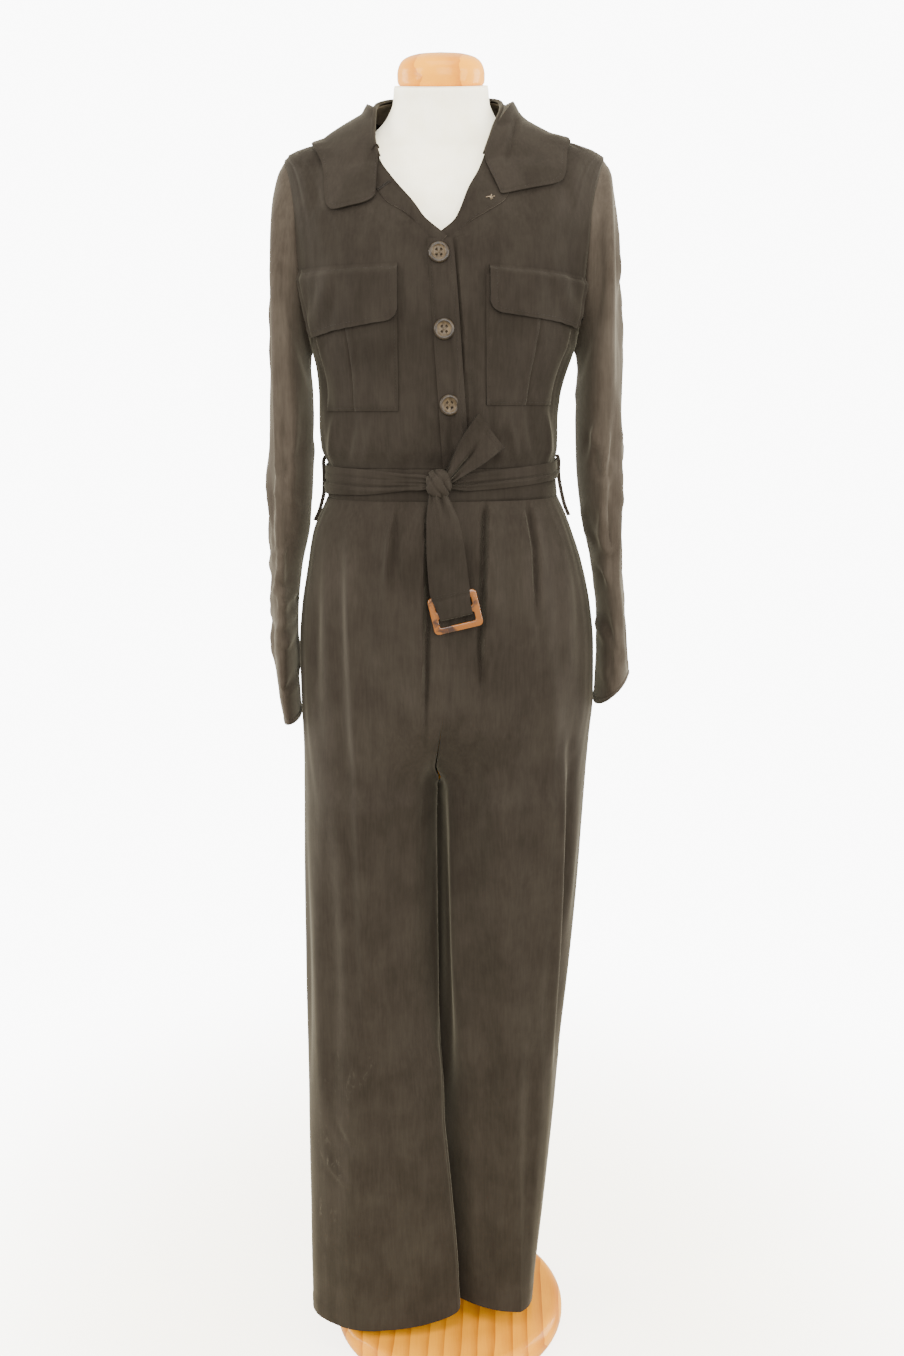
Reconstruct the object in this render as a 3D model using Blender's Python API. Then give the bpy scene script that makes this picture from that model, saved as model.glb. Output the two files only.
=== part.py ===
"""A long-sleeved, belted jumpsuit worn on a limbless dress form with a round wooden stand.

Metres, +Z up, front towards -Y, origin at the centre of the stand's underside.
"Left" and "right" in the tables are the -X and +X side; the node names use the wearer's
sides, so the wearer's right front is on the -X side.
"""
from types import SimpleNamespace
import math

import bmesh
import bpy
import numpy as np
from mathutils import Vector

for old in list(bpy.data.objects):
    bpy.data.objects.remove(old)

# ---- Cloth ------------------------------------------------------------------
WALL = 0.0014            # wall of a single layer of cloth
DOUBLE_WALL = 0.0018     # two layers sewn together: collar, flaps, placket, waistband
GAP = 0.0003             # between two pieces sewn edge to edge
LIFT = 0.0011            # under a piece that lies on a panel
SQUARE = 2.4             # roundness of a cloth section: 2 is an ellipse, more is squarer

# ---- Heights ----------------------------------------------------------------
HEM_RIGHT = 0.047        # wearer's right leg, on the -X side
HEM_LEFT = 0.060
CROTCH = 0.790
FORK = 0.130             # height over which the seat divides into two legs
TROUSER_TOP = 1.163
BODICE_BOTTOM = 1.201
UNDERARM = 1.340
SHOULDER_TIP = 1.556
SIDE_NECK = 1.610        # shoulder seam at the neck
BACK_NECK_DROP = 0.012
ARMHOLE_FRONT, ARMHOLE_BACK = -0.062, 0.066      # how far it reaches, in Y

# ---- Stand and form ---------------------------------------------------------
BASE_RADIUS, BASE_HEIGHT = 0.160, 0.035
POLE_RADIUS = 0.0115
FORM_BOTTOM = 0.935
NECK_TOP = 1.637
NECK_SLOPE = math.radians(14.0)      # the neck is cut lower at the front
CAP_RADIUS, CAP_HEIGHT = 0.0510, 0.035

# ---- Buttons, buckle and belt -----------------------------------------------
BUTTON_RADIUS, BUTTON_HEIGHT = 0.0117, 0.0036
BUTTON_HEIGHTS = {"button_top": 1.4365, "button_middle": 1.355, "button_low": 1.2725}
PLACKET_HALF, PLACKET_TOP = 0.0135, 1.452
BELT_WALL, BELT_LIFT = 0.0024, 0.0015
BUCKLE_WIDTH, BUCKLE_HEIGHT = 0.058, 0.044
BUCKLE_BAR, BUCKLE_THICK = 0.0075, 0.0036
BUCKLE_TILT = math.radians(-13.0)
BUCKLE_CENTRE = (0.0130, -0.1363, 1.0370)
KNOT_CENTRE, KNOT_SIZE = (-0.0060, -0.1330, 1.1845), (0.0145, 0.0112, 0.0165)


class Table:
    """Sections by their first column, read anywhere between on a smooth curve."""

    def __init__(self, names, *rows):
        self.names = names.split()
        self.rows = np.array(sorted(rows), float)
        self.keys = self.rows[:, 0]
        steps = np.diff(self.keys)[:, None]
        secants = np.diff(self.rows, axis=0) / steps
        before, after = secants[:-1], secants[1:]
        same_way = before * after > 0.0
        total = np.where(same_way, before + after, 1.0)
        inner = np.where(same_way, 2.0 * before * after / total, 0.0)
        self.slopes = np.vstack([secants[:1], inner, secants[-1:]])

    def at(self, key):
        i = int(np.clip(np.searchsorted(self.keys, key) - 1, 0, len(self.keys) - 2))
        step = self.keys[i + 1] - self.keys[i]
        t = min(max((key - self.keys[i]) / step, 0.0), 1.0)
        rise = t * t * (3.0 - 2.0 * t)
        values = (self.rows[i] * (1.0 - rise) + self.rows[i + 1] * rise
                  + self.slopes[i] * step * t * (1.0 - t) ** 2
                  - self.slopes[i + 1] * step * t * t * (1.0 - t))
        return SimpleNamespace(**dict(zip(self.names, values)))


# ---- Sections of the cloth's outer side -------------------------------------
BODICE = Table(
    "z     left    right   front   back",
    (1.190, -0.1400, 0.1340, -0.117, 0.096),
    (1.201, -0.1420, 0.1360, -0.119, 0.098),
    (1.222, -0.1470, 0.1365, -0.123, 0.103),
    (1.250, -0.1490, 0.1365, -0.126, 0.107),
    (1.280, -0.1495, 0.1405, -0.128, 0.109),
    (1.305, -0.1515, 0.1470, -0.130, 0.111),
    (1.340, -0.1590, 0.1600, -0.131, 0.113),
    (1.390, -0.1720, 0.1730, -0.131, 0.115),
    (1.450, -0.1840, 0.1860, -0.123, 0.115),
    (1.500, -0.1890, 0.1930, -0.104, 0.107),
    (1.530, -0.1900, 0.1960, -0.087, 0.095),
    (1.547, -0.1890, 0.1950, -0.073, 0.084),
    (1.556, -0.1840, 0.1900, -0.066, 0.077),
    (1.563, -0.1720, 0.1790, -0.061, 0.072),
    (1.570, -0.1480, 0.1560, -0.059, 0.069),
    (1.578, -0.1220, 0.1260, -0.058, 0.067),
    (1.590, -0.1010, 0.1010, -0.058, 0.066),
    (1.600, -0.0900, 0.0890, -0.058, 0.065),
    (1.612, -0.0820, 0.0810, -0.058, 0.064))

NECKLINE = Table(        # where the collar is sewn to the fronts
    "z      left     right",
    (1.4550, -0.0100, 0.0110),
    (1.4700, -0.0240, 0.0260),
    (1.4830, -0.0400, 0.0480),
    (1.4980, -0.0620, 0.0690),
    (1.5300, -0.0790, 0.0810),
    (1.5600, -0.0830, 0.0840),
    (1.5900, -0.0820, 0.0820),
    (1.6120, -0.0790, 0.0780))

HIPS = Table(
    "z     left    right   front   back   middle",
    (0.780, -0.1840, 0.1795, -0.120, 0.114, -0.015),
    (0.860, -0.1825, 0.1845, -0.124, 0.119, -0.007),
    (0.910, -0.1820, 0.1880, -0.126, 0.123, -0.002),
    (0.980, -0.1815, 0.1870, -0.128, 0.127, 0.004),
    (1.030, -0.1780, 0.1820, -0.129, 0.126, 0.006),
    (1.080, -0.1705, 0.1715, -0.128, 0.121, 0.008),
    (1.120, -0.1630, 0.1580, -0.125, 0.113, 0.009),
    (1.163, -0.1440, 0.1400, -0.119, 0.100, 0.010))

LEG_RIGHT = Table(       # wearer's right, on the -X side; "middle" is where front and back reach furthest
    "z     outer    inner    front   back   middle  outer_y inner_y",
    (0.047, -0.1900, 0.0150, -0.097, 0.000, -0.095, -0.040, -0.066),
    (0.120, -0.1900, 0.0130, -0.098, 0.002, -0.096, -0.038, -0.064),
    (0.220, -0.1890, 0.0060, -0.099, 0.005, -0.098, -0.034, -0.060),
    (0.300, -0.1890, -0.0010, -0.100, 0.010, -0.100, -0.028, -0.056),
    (0.360, -0.1890, -0.0070, -0.100, 0.022, -0.100, -0.022, -0.050),
    (0.430, -0.1890, -0.0150, -0.101, 0.046, -0.101, -0.013, -0.032),
    (0.500, -0.1890, -0.0185, -0.102, 0.072, -0.102, -0.006, -0.010),
    (0.600, -0.1880, -0.0185, -0.105, 0.092, -0.102, 0.000, 0.000),
    (0.760, -0.1845, -0.0175, -0.113, 0.108, -0.100, 0.000, 0.000),
    (0.790, -0.1840, -0.0153, -0.115, 0.112, -0.098, 0.000, 0.000),
    (0.930, -0.1820, -0.0150, -0.120, 0.120, -0.095, 0.000, 0.000))

LEG_LEFT = Table(        # wearer's left, on the +X side, round the pole
    "z     outer   inner    front   back   middle outer_y inner_y",
    (0.060, 0.1190, -0.0260, -0.078, 0.096, 0.095, 0.000, 0.044),
    (0.120, 0.1250, -0.0255, -0.079, 0.096, 0.095, 0.000, 0.043),
    (0.264, 0.1390, -0.0215, -0.083, 0.098, 0.094, 0.000, 0.038),
    (0.346, 0.1460, -0.0190, -0.087, 0.099, 0.092, 0.000, 0.026),
    (0.436, 0.1520, -0.0155, -0.091, 0.100, 0.090, 0.000, 0.012),
    (0.540, 0.1600, -0.0148, -0.097, 0.102, 0.089, 0.000, 0.003),
    (0.668, 0.1720, -0.0148, -0.105, 0.106, 0.089, 0.000, 0.000),
    (0.790, 0.1800, -0.0149, -0.113, 0.112, 0.090, 0.000, 0.000),
    (0.930, 0.1880, -0.0152, -0.120, 0.120, 0.092, 0.000, 0.000))
LEG_SQUARE = 2.0         # the legs hang in plain ovals

# A sleeve's rings: its outermost and innermost point, and how deep it is from front to back.
SLEEVE_RIGHT = Table(
    "ring outer    outer_z inner    inner_z front   back",
    (0, -0.1840, 1.5560, -0.1580, 1.3400, -0.062, 0.066),
    (1, -0.1915, 1.5440, -0.1625, 1.3260, -0.067, 0.071),
    (2, -0.1990, 1.5100, -0.1630, 1.3080, -0.072, 0.076),
    (3, -0.2040, 1.4600, -0.1610, 1.2860, -0.075, 0.079),
    (4, -0.2075, 1.3800, -0.1605, 1.2520, -0.076, 0.080),
    (5, -0.2115, 1.2800, -0.1625, 1.2000, -0.075, 0.079),
    (6, -0.2155, 1.1700, -0.1680, 1.1300, -0.072, 0.076),
    (7, -0.2170, 1.0900, -0.1810, 1.0700, -0.068, 0.072),
    (8, -0.2170, 1.0200, -0.1875, 1.0100, -0.063, 0.067),
    (9, -0.2155, 0.9550, -0.1885, 0.9500, -0.058, 0.062),
    (10, -0.2120, 0.9150, -0.1880, 0.9130, -0.055, 0.059),
    (11, -0.2060, 0.8820, -0.1870, 0.8820, -0.053, 0.057))

SLEEVE_LEFT = Table(
    "ring outer   outer_z inner   inner_z front   back",
    (0, 0.1900, 1.5560, 0.1600, 1.3400, -0.062, 0.066),
    (1, 0.1975, 1.5440, 0.1645, 1.3260, -0.067, 0.071),
    (2, 0.2040, 1.5180, 0.1655, 1.3080, -0.072, 0.076),
    (3, 0.2085, 1.4700, 0.1640, 1.2860, -0.075, 0.079),
    (4, 0.2130, 1.3800, 0.1635, 1.2520, -0.076, 0.080),
    (5, 0.2175, 1.2800, 0.1650, 1.2000, -0.075, 0.079),
    (6, 0.2185, 1.1700, 0.1715, 1.1400, -0.072, 0.076),
    (7, 0.2210, 1.0950, 0.1850, 1.0750, -0.068, 0.072),
    (8, 0.2260, 1.0200, 0.1935, 1.0050, -0.063, 0.067),
    (9, 0.2310, 0.9650, 0.1930, 0.9350, -0.058, 0.062),
    (10, 0.2340, 0.9420, 0.1915, 0.8980, -0.055, 0.059))

# The collar, from its end on the -X side (place -5) round the back (0) to the other end (5).
# The fold stands free, and the leaf's edge lies on the body at an angle and a height.
COLLAR = Table(
    "place seam_z  fold_x   fold_y   fold_z  edge_angle edge_z",
    (-5.0, 1.4580, -0.0045, -0.1225, 1.4640, 315.0, 1.490),
    (-4.0, 1.4760, -0.0270, -0.1130, 1.4900, 315.0, 1.490),
    (-3.4, 1.4900, -0.0450, -0.1025, 1.5100, 315.0, 1.490),
    (-3.0, 1.5050, -0.0560, -0.0925, 1.5240, 318.0, 1.510),
    (-2.4, 1.5350, -0.0690, -0.0790, 1.5440, 320.0, 1.540),
    (-1.9, 1.5650, -0.0755, -0.0600, 1.5720, 308.0, 1.566),
    (-1.4, 1.5950, -0.0730, -0.0300, 1.6060, 272.0, 1.577),
    (-1.2, 1.6100, -0.0715, -0.0125, 1.6180, 257.0, 1.578),
    (-1.0, 1.6100, -0.0690, 0.0050, 1.6290, 240.0, 1.578),
    (-0.5, 1.6100, -0.0500, 0.0440, 1.6410, 212.0, 1.585),
    (0.0, 1.6100, 0.0000, 0.0640, 1.6440, 180.0, 1.588),
    (0.5, 1.6100, 0.0500, 0.0430, 1.6410, 148.0, 1.585),
    (1.0, 1.6100, 0.0655, 0.0030, 1.6280, 120.0, 1.578),
    (1.2, 1.6100, 0.0655, -0.0130, 1.6180, 103.0, 1.578),
    (1.4, 1.5950, 0.0640, -0.0300, 1.6060, 88.0, 1.577),
    (1.9, 1.5650, 0.0570, -0.0560, 1.5800, 52.0, 1.570),
    (2.4, 1.5350, 0.0490, -0.0740, 1.5560, 41.0, 1.545),
    (3.0, 1.5050, 0.0385, -0.0900, 1.5300, 43.0, 1.527),
    (3.4, 1.4940, 0.0290, -0.1030, 1.5100, 44.0, 1.513),
    (4.0, 1.4730, 0.0200, -0.1130, 1.4860, 44.0, 1.513),
    (5.0, 1.4580, 0.0035, -0.1225, 1.4640, 44.0, 1.513))
LEAF_END = 3.4           # place where the leaf's front ends are
LEAF_BOW = 0.008         # how far those ends bow down
LEAF_OFFSET = 0.0040     # between the stand's outer side and the leaf's

def smoothstep(low, high, value):
    t = min(max((value - low) / (high - low), 0.0), 1.0)
    return t * t * (3.0 - 2.0 * t)


def oval(angle, left, right, front, back, middle, left_y=0.0, right_y=0.0, square=SQUARE):
    """A point of a rounded section: 0 degrees is the front, 90 is +X, 180 the back."""
    cosine, sine = math.cos(math.radians(angle)), math.sin(math.radians(angle))
    reach = (abs(cosine) ** square + abs(sine) ** square) ** (-1.0 / square)
    width = right - middle if sine >= 0.0 else middle - left
    side_y = right_y if sine >= 0.0 else left_y
    depth = side_y - front if cosine >= 0.0 else back - side_y
    return middle + width * reach * sine, side_y - depth * reach * cosine


def angle_at(share):
    """The angle at which a section has reached this share of its half width."""
    power = min(abs(share), 0.99999) ** SQUARE
    angle = math.degrees(math.atan((power / (1.0 - power)) ** (1.0 / SQUARE)))
    return math.copysign(angle, share)


# ---- Surfaces: (across, up) to a point on the cloth's outer side --------------
def bodice_point(angle, z):
    row = BODICE.at(z)
    x, y = oval(angle, row.left, row.right, row.front, row.back, 0.0)
    return np.array([x, y, z])


def bodice_angle(x, z):
    row = BODICE.at(z)
    return angle_at(x / (row.right if x >= 0.0 else -row.left))


def front_middle(z):
    """X of the line down the middle of the placket, which leans a little."""
    return -0.002 + 0.064 * (1.4365 - z)


def armhole_edge(z, side, depth):
    """The angle of the armhole's edge: an upright oval, to the front or the back."""
    middle = 0.5 * (UNDERARM + SHOULDER_TIP)
    half = 0.5 * (SHOULDER_TIP - UNDERARM)
    level = min(abs(z - middle) / half, 1.0)
    row = BODICE.at(z)
    full = row.back if depth > 0.0 else row.front
    turn = angle_at(depth / full * math.sqrt(1.0 - level * level))
    return side * (90.0 + turn if depth > 0.0 else 90.0 - turn)


def front_panel(side):
    """The bodice front on one side, from its inner edge to side seam and armhole."""
    def surface(across, z):
        if z > PLACKET_TOP + 0.003:
            row = NECKLINE.at(z)
            inner = bodice_angle(row.right if side > 0 else row.left, z)
        else:
            inner = bodice_angle(front_middle(z), z)
        outer = armhole_edge(z, side, ARMHOLE_FRONT)
        low, high = (inner, outer) if side > 0 else (outer, inner)
        return bodice_point(low + (high - low) * across, z)
    return surface


def back_panel(across, z):
    """The bodice back, whose rows dip towards the back of the neck."""
    low = armhole_edge(z, 1, ARMHOLE_BACK)
    high = 360.0 + armhole_edge(z, -1, ARMHOLE_BACK)
    dip = BACK_NECK_DROP * smoothstep(1.50, SIDE_NECK, z) * math.sin(math.pi * across)
    return bodice_point(low + (high - low) * across, z - dip)


def sleeve_surface(side, table):
    """(turn, ring): turn 0 is the outer side, 0.25 the front, 0.5 the inner side."""
    def ring_point(turn, ring):
        row = table.at(ring)
        cosine = math.cos(2.0 * math.pi * turn)
        sine = math.sin(2.0 * math.pi * turn)
        outer = np.array([row.outer, 0.0, row.outer_z])
        inner = np.array([row.inner, 0.0, row.inner_z])
        point = 0.5 * (outer + inner) + 0.5 * (outer - inner) * cosine
        point[1] = row.front * sine if sine > 0.0 else -row.back * sine
        return point

    def armhole_point(turn):
        z = ring_point(turn, 0)[2]
        depth = ARMHOLE_FRONT if math.sin(2.0 * math.pi * turn) > 0.0 else ARMHOLE_BACK
        point = bodice_point(armhole_edge(z, side, depth), z)
        point[0] += side * GAP * 1.6
        return point

    def surface(turn, ring):
        turn %= 1.0
        fade = 1.0 - smoothstep(0.0, 2.6, ring)
        return ring_point(turn, ring) + (armhole_point(turn) - ring_point(turn, 0)) * fade
    return surface


def fork_share(z):
    """0 on the hips, 1 on a leg, along the curve of the crotch seam."""
    t = min(max((z - CROTCH) / FORK, 0.0), 1.0)
    return (1.0 - t) ** 2


def trouser_point(side, hip_angles, leg_angles, across, z):
    hips = HIPS.at(z)
    leg = (LEG_LEFT if side > 0 else LEG_RIGHT).at(z)
    hip_angle = hip_angles[0] + (hip_angles[1] - hip_angles[0]) * across
    leg_angle = leg_angles[0] + (leg_angles[1] - leg_angles[0]) * across
    on_hip = oval(hip_angle, hips.left, hips.right, hips.front, hips.back, hips.middle)
    if side > 0:
        on_leg = oval(leg_angle, leg.inner, leg.outer, leg.front, leg.back, leg.middle,
                      leg.inner_y, leg.outer_y, LEG_SQUARE)
    else:
        on_leg = oval(leg_angle, leg.outer, leg.inner, leg.front, leg.back, leg.middle,
                      leg.outer_y, leg.inner_y, LEG_SQUARE)
    share = fork_share(z)
    return np.array([on_hip[0] * (1 - share) + on_leg[0] * share,
                     on_hip[1] * (1 - share) + on_leg[1] * share, z])


# Pleats of the trouser fronts, mirrored on the other side: share of the way from the side
# seam to the middle at the top and at the bottom, and the height and depth of the step.
PLEATS = (SimpleNamespace(top=0.53, bottom=0.62, ends=1.000, depth=0.0030),
          SimpleNamespace(top=0.79, bottom=0.86, ends=0.920, depth=0.0034))
PLEAT_WIDTH = 0.014

# Long soft folds: piece, place across it and width (shares), heights, depth (+ is out).
FOLD_NAMES = "piece place width low high depth"
FOLDS = [SimpleNamespace(**dict(zip(FOLD_NAMES.split(), row))) for row in (
    ("front_right", 0.30, 0.07, 1.190, 1.330, -0.0050),
    ("front_right", 0.62, 0.06, 1.190, 1.300, -0.0040),
    ("front_left", 0.45, 0.07, 1.190, 1.330, -0.0045),
    ("front_left", 0.80, 0.06, 1.190, 1.350, -0.0050),
    ("back", 0.22, 0.05, 1.190, 1.400, -0.0060),
    ("back", 0.50, 0.05, 1.190, 1.380, -0.0040),
    ("back", 0.80, 0.05, 1.190, 1.420, -0.0060),
    ("trouser_front_right", 0.42, 0.08, 0.350, 1.130, 0.0040),
    ("trouser_front_right", 0.68, 0.07, 0.250, 1.000, -0.0050),
    ("trouser_front_left", 0.36, 0.08, 0.300, 0.990, -0.0050),
    ("trouser_front_left", 0.64, 0.08, 0.250, 1.050, 0.0040),
    ("trouser_back_right", 0.45, 0.09, 0.250, 1.120, -0.0050),
    ("trouser_back_left", 0.55, 0.09, 0.250, 1.120, -0.0050))]


def swell(value, low, high):
    """A soft rise and fall between two ends."""
    t = min(max((value - low) / (high - low), 0.0), 1.0)
    return math.sin(math.pi * t) ** 1.5 if 0.0 < t < 1.0 else 0.0


def hanging(value, low, high):
    """Full at the low end and fading to nothing at the high one."""
    return 1.0 - smoothstep(low, high, value)


def fold_height(piece, across, z):
    total = 0.0
    for fold in FOLDS:
        if fold.piece == piece:
            along = hanging(z, fold.low, fold.high) if fold.low > 1.15 else swell(z, fold.low, fold.high)
            total += fold.depth * along * math.exp(-((across - fold.place) / fold.width) ** 2)
    return total


def pleat_height(share, z):
    """Height of the pleats' laps, at a share of the way from side seam to middle."""
    total = 0.0
    for pleat in PLEATS:
        down = (TROUSER_TOP - z) / (TROUSER_TOP - pleat.ends)
        if 0.0 <= down < 1.0:
            place = pleat.top + (pleat.bottom - pleat.top) * down
            lap = smoothstep(place + PLEAT_WIDTH / 2, place - PLEAT_WIDTH / 2, share)
            behind = smoothstep(place - 0.16, place, share)
            total += pleat.depth * (1.0 - down) * min(lap, 1.0) * behind
    return total


def normal_of(surface, a, b, step_a=2e-4, step_b=2e-4):
    along = surface(a + step_a, b) - surface(a - step_a, b)
    up = surface(a, b + step_b) - surface(a, b - step_b)
    cross = np.cross(along, up)
    return cross / np.linalg.norm(cross)


def with_height(surface, height):
    """A surface moved out along its own normals by a height."""
    def moved(a, b):
        lift = height(a, b)
        point = surface(a, b)
        return point if lift == 0.0 else point + normal_of(surface, a, b) * lift
    return moved


def trouser_panel(piece, side, hip_angles, leg_angles, pleated):
    def flat(across, z):
        return trouser_point(side, hip_angles, leg_angles, across, z)

    def height(across, z):
        share = across if side < 0 else 1.0 - across
        rise = pleat_height(share, z) if pleated else 0.0
        edges = smoothstep(0.0, 0.12, across) * smoothstep(1.0, 0.88, across)
        return rise + fold_height(piece, across, z) * edges
    return with_height(flat, height)


def bodice_panel(piece, surface):
    def height(across, z):
        edges = smoothstep(0.0, 0.12, across) * smoothstep(1.0, 0.88, across)
        return fold_height(piece, across, z) * edges
    return with_height(surface, height)


# ---- Turning surfaces into solid pieces ---------------------------------------
def material(name, colour, roughness, metallic=0.0):
    made = bpy.data.materials.get(name) or bpy.data.materials.new(name)
    made.use_nodes = True
    shader = made.node_tree.nodes["Principled BSDF"]
    shader.inputs["Base Color"].default_value = (*colour, 1.0)
    shader.inputs["Roughness"].default_value = roughness
    shader.inputs["Metallic"].default_value = metallic
    made.diffuse_color = (*colour, 1.0)
    return made


def add_piece(name, points, faces, finish, smooth_angle=40.0):
    """One closed body, its faces turned outwards."""
    mesh = bpy.data.meshes.new(name)
    mesh.from_pydata([tuple(point) for point in points], [], faces)
    shape = bmesh.new()
    shape.from_mesh(mesh)
    bmesh.ops.remove_doubles(shape, verts=shape.verts, dist=1e-6)
    bmesh.ops.recalc_face_normals(shape, faces=shape.faces)
    if shape.calc_volume(signed=True) < 0.0:
        bmesh.ops.reverse_faces(shape, faces=shape.faces)
    shape.to_mesh(mesh)
    shape.free()
    mesh.shade_smooth()
    mesh.set_sharp_from_angle(angle=math.radians(smooth_angle))
    mesh.materials.append(finish)
    piece = bpy.data.objects.new(name, mesh)
    bpy.context.scene.collection.objects.link(piece)
    return piece


def trim(points, edges):
    """Draws the named edges of a grid back by half a seam's gap."""
    pairs = {"first_row": (0, 1, 0), "last_row": (-1, -2, 0),
             "first_column": (0, 1, 1), "last_column": (-1, -2, 1)}
    for edge in edges:
        here, inside, axis = pairs[edge]
        grid = points if axis == 0 else points.swapaxes(0, 1)
        step = grid[inside] - grid[here]
        length = np.linalg.norm(step, axis=1, keepdims=True)
        grid[here] = grid[here] + step / length * GAP * 0.5
    return points


def wall_piece(name, outer, inner, finish, closed=False):
    """A wall between two grids of points; a closed one joins its last column to its first."""
    rows, columns = outer.shape[:2]
    points = list(outer.reshape(-1, 3)) + list(inner.reshape(-1, 3))
    behind = rows * columns
    last = columns if closed else columns - 1

    def at(row, column):
        return row * columns + column % columns
    faces = []
    for row in range(rows - 1):
        for column in range(last):
            a, b = at(row, column), at(row, column + 1)
            c, d = at(row + 1, column + 1), at(row + 1, column)
            rising, falling = np.linalg.norm(points[c] - points[a]), np.linalg.norm(points[d] - points[b])
            halves = ((a, b, c), (a, c, d)) if rising <= falling else ((a, b, d), (b, c, d))
            for half in halves:
                faces.append(half)
                faces.append(tuple(behind + corner for corner in reversed(half)))
    rims = [[at(0, column) for column in range(last + 1)],
            [at(rows - 1, column) for column in range(last + 1)]]
    if not closed:
        rims.append([at(row, 0) for row in range(rows)])
        rims.append([at(row, columns - 1) for row in range(rows)])
    for rim in rims:
        for start, end in zip(rim, rim[1:]):
            faces.append((start, end, behind + end, behind + start))
    return add_piece(name, points, faces, finish)


def cloth_piece(name, surface, across, up, finish, wall=WALL, lift=0.0, closed=False,
                trimmed=("first_row", "last_row", "first_column", "last_column"), outward=1.0):
    """A wall of cloth whose outer side is a surface, or stands off it by a lift."""
    grid = np.array([[surface(a, b) for a in across] for b in up])
    out = np.array([[normal_of(surface, a, b) for a in across] for b in up]) * outward
    outer = trim(grid + out * lift, trimmed)
    inner = trim(grid + out * (lift - wall), trimmed)
    return wall_piece(name, outer, inner, finish, closed)


def strip_piece(name, middles, sides, outs, wall, finish):
    """A flat strip: the middle of its outer side, half its width and its outward direction."""
    middles, sides, outs = (np.array(item, float) for item in (middles, sides, outs))
    shares = (-1.0, 0.0, 1.0)
    outer = np.array([[m + s * share for share in shares] for m, s in zip(middles, sides)])
    inner = outer - outs[:, None, :] * wall
    return wall_piece(name, outer, inner, finish)


def turned_piece(name, profile, steps, finish, origin=(0.0, 0.0, 0.0), axis=(0.0, 0.0, 1.0)):
    """A turned solid: (radius, height) from the middle of one face to that of the other."""
    axis = Vector(axis).normalized()
    turn_to_axis = Vector((0.0, 0.0, 1.0)).rotation_difference(axis)
    points, rings = [], []
    for radius, height in profile:
        count = steps if radius > 1e-6 else 1
        rings.append(range(len(points), len(points) + count))
        for step in range(count):
            turn = 2.0 * math.pi * step / steps
            spot = Vector((radius * math.cos(turn), radius * math.sin(turn), height))
            points.append(Vector(origin) + turn_to_axis @ spot)
    faces = []
    for low, high in zip(rings, rings[1:]):
        for step in range(steps):
            a, b = low[step % len(low)], low[(step + 1) % len(low)]
            c, d = high[(step + 1) % len(high)], high[step % len(high)]
            faces.append(tuple(dict.fromkeys((a, b, c, d))))
    return add_piece(name, points, faces, finish)


def rounded_edge(radius, low, high, edge, steps=4):
    """The (radius, height) profile of a disc whose rims are quarter rounds."""
    profile = [(0.0, low)]
    for level, sign, order in ((low + edge, -1.0, range(steps + 1)), (high - edge, 1.0, range(steps, -1, -1))):
        for step in order:
            turn = 0.5 * math.pi * (1.0 - step / steps)
            profile.append((radius - edge + edge * math.cos(turn), level + sign * edge * math.sin(turn)))
    profile.append((0.0, high))
    return profile


# ---- Finishes -----------------------------------------------------------------
CLOTH = material("suede_cloth", (0.070, 0.056, 0.042), 0.85)
JERSEY = material("form_jersey", (0.86, 0.84, 0.80), 0.80)
WOOD = material("lacquered_wood", (0.62, 0.33, 0.12), 0.25)
HORN = material("horn", (0.22, 0.15, 0.09), 0.35)
AMBER = material("tortoiseshell", (0.42, 0.18, 0.04), 0.20)


def even(low, high, count):
    return [float(value) for value in np.linspace(low, high, count)]


# ---- Stand and form -----------------------------------------------------------
FORM = Table(
    "z     width   front   back",
    (0.935, 0.1440, -0.086, 0.092),
    (0.945, 0.1530, -0.094, 0.100),
    (0.990, 0.1620, -0.103, 0.110),
    (1.050, 0.1590, -0.103, 0.110),
    (1.100, 0.1480, -0.099, 0.099),
    (1.150, 0.1310, -0.092, 0.084),
    (1.185, 0.1220, -0.088, 0.078),
    (1.250, 0.1250, -0.094, 0.083),
    (1.320, 0.1360, -0.106, 0.093),
    (1.390, 0.1450, -0.115, 0.099),
    (1.450, 0.1520, -0.106, 0.100),
    (1.500, 0.1600, -0.087, 0.092),
    (1.530, 0.1650, -0.070, 0.080),
    (1.548, 0.1620, -0.057, 0.068),
    (1.556, 0.1500, -0.052, 0.063),
    (1.564, 0.1250, -0.050, 0.060),
    (1.572, 0.1000, -0.050, 0.058),
    (1.584, 0.0790, -0.050, 0.056),
    (1.600, 0.0640, -0.050, 0.054),
    (1.618, 0.0565, -0.051, 0.053),
    (1.637, 0.0550, -0.053, 0.053))


def build_form():
    steps = 32
    points = []
    rings = []
    for z in FORM.keys:
        row = FORM.at(z)
        slope = math.tan(NECK_SLOPE) * smoothstep(1.600, NECK_TOP, z)
        rings.append(range(len(points), len(points) + steps))
        for step in range(steps):
            x, y = oval(360.0 * step / steps, -row.width, row.width, row.front, row.back, 0.0)
            points.append((x, y, z + slope * y))
    faces = [tuple(reversed(rings[0])), tuple(rings[-1])]
    for low, high in zip(rings, rings[1:]):
        for step in range(steps):
            after = (step + 1) % steps
            faces.append((low[step], low[after], high[after], high[step]))
    add_piece("form_torso", points, faces, JERSEY)


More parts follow.
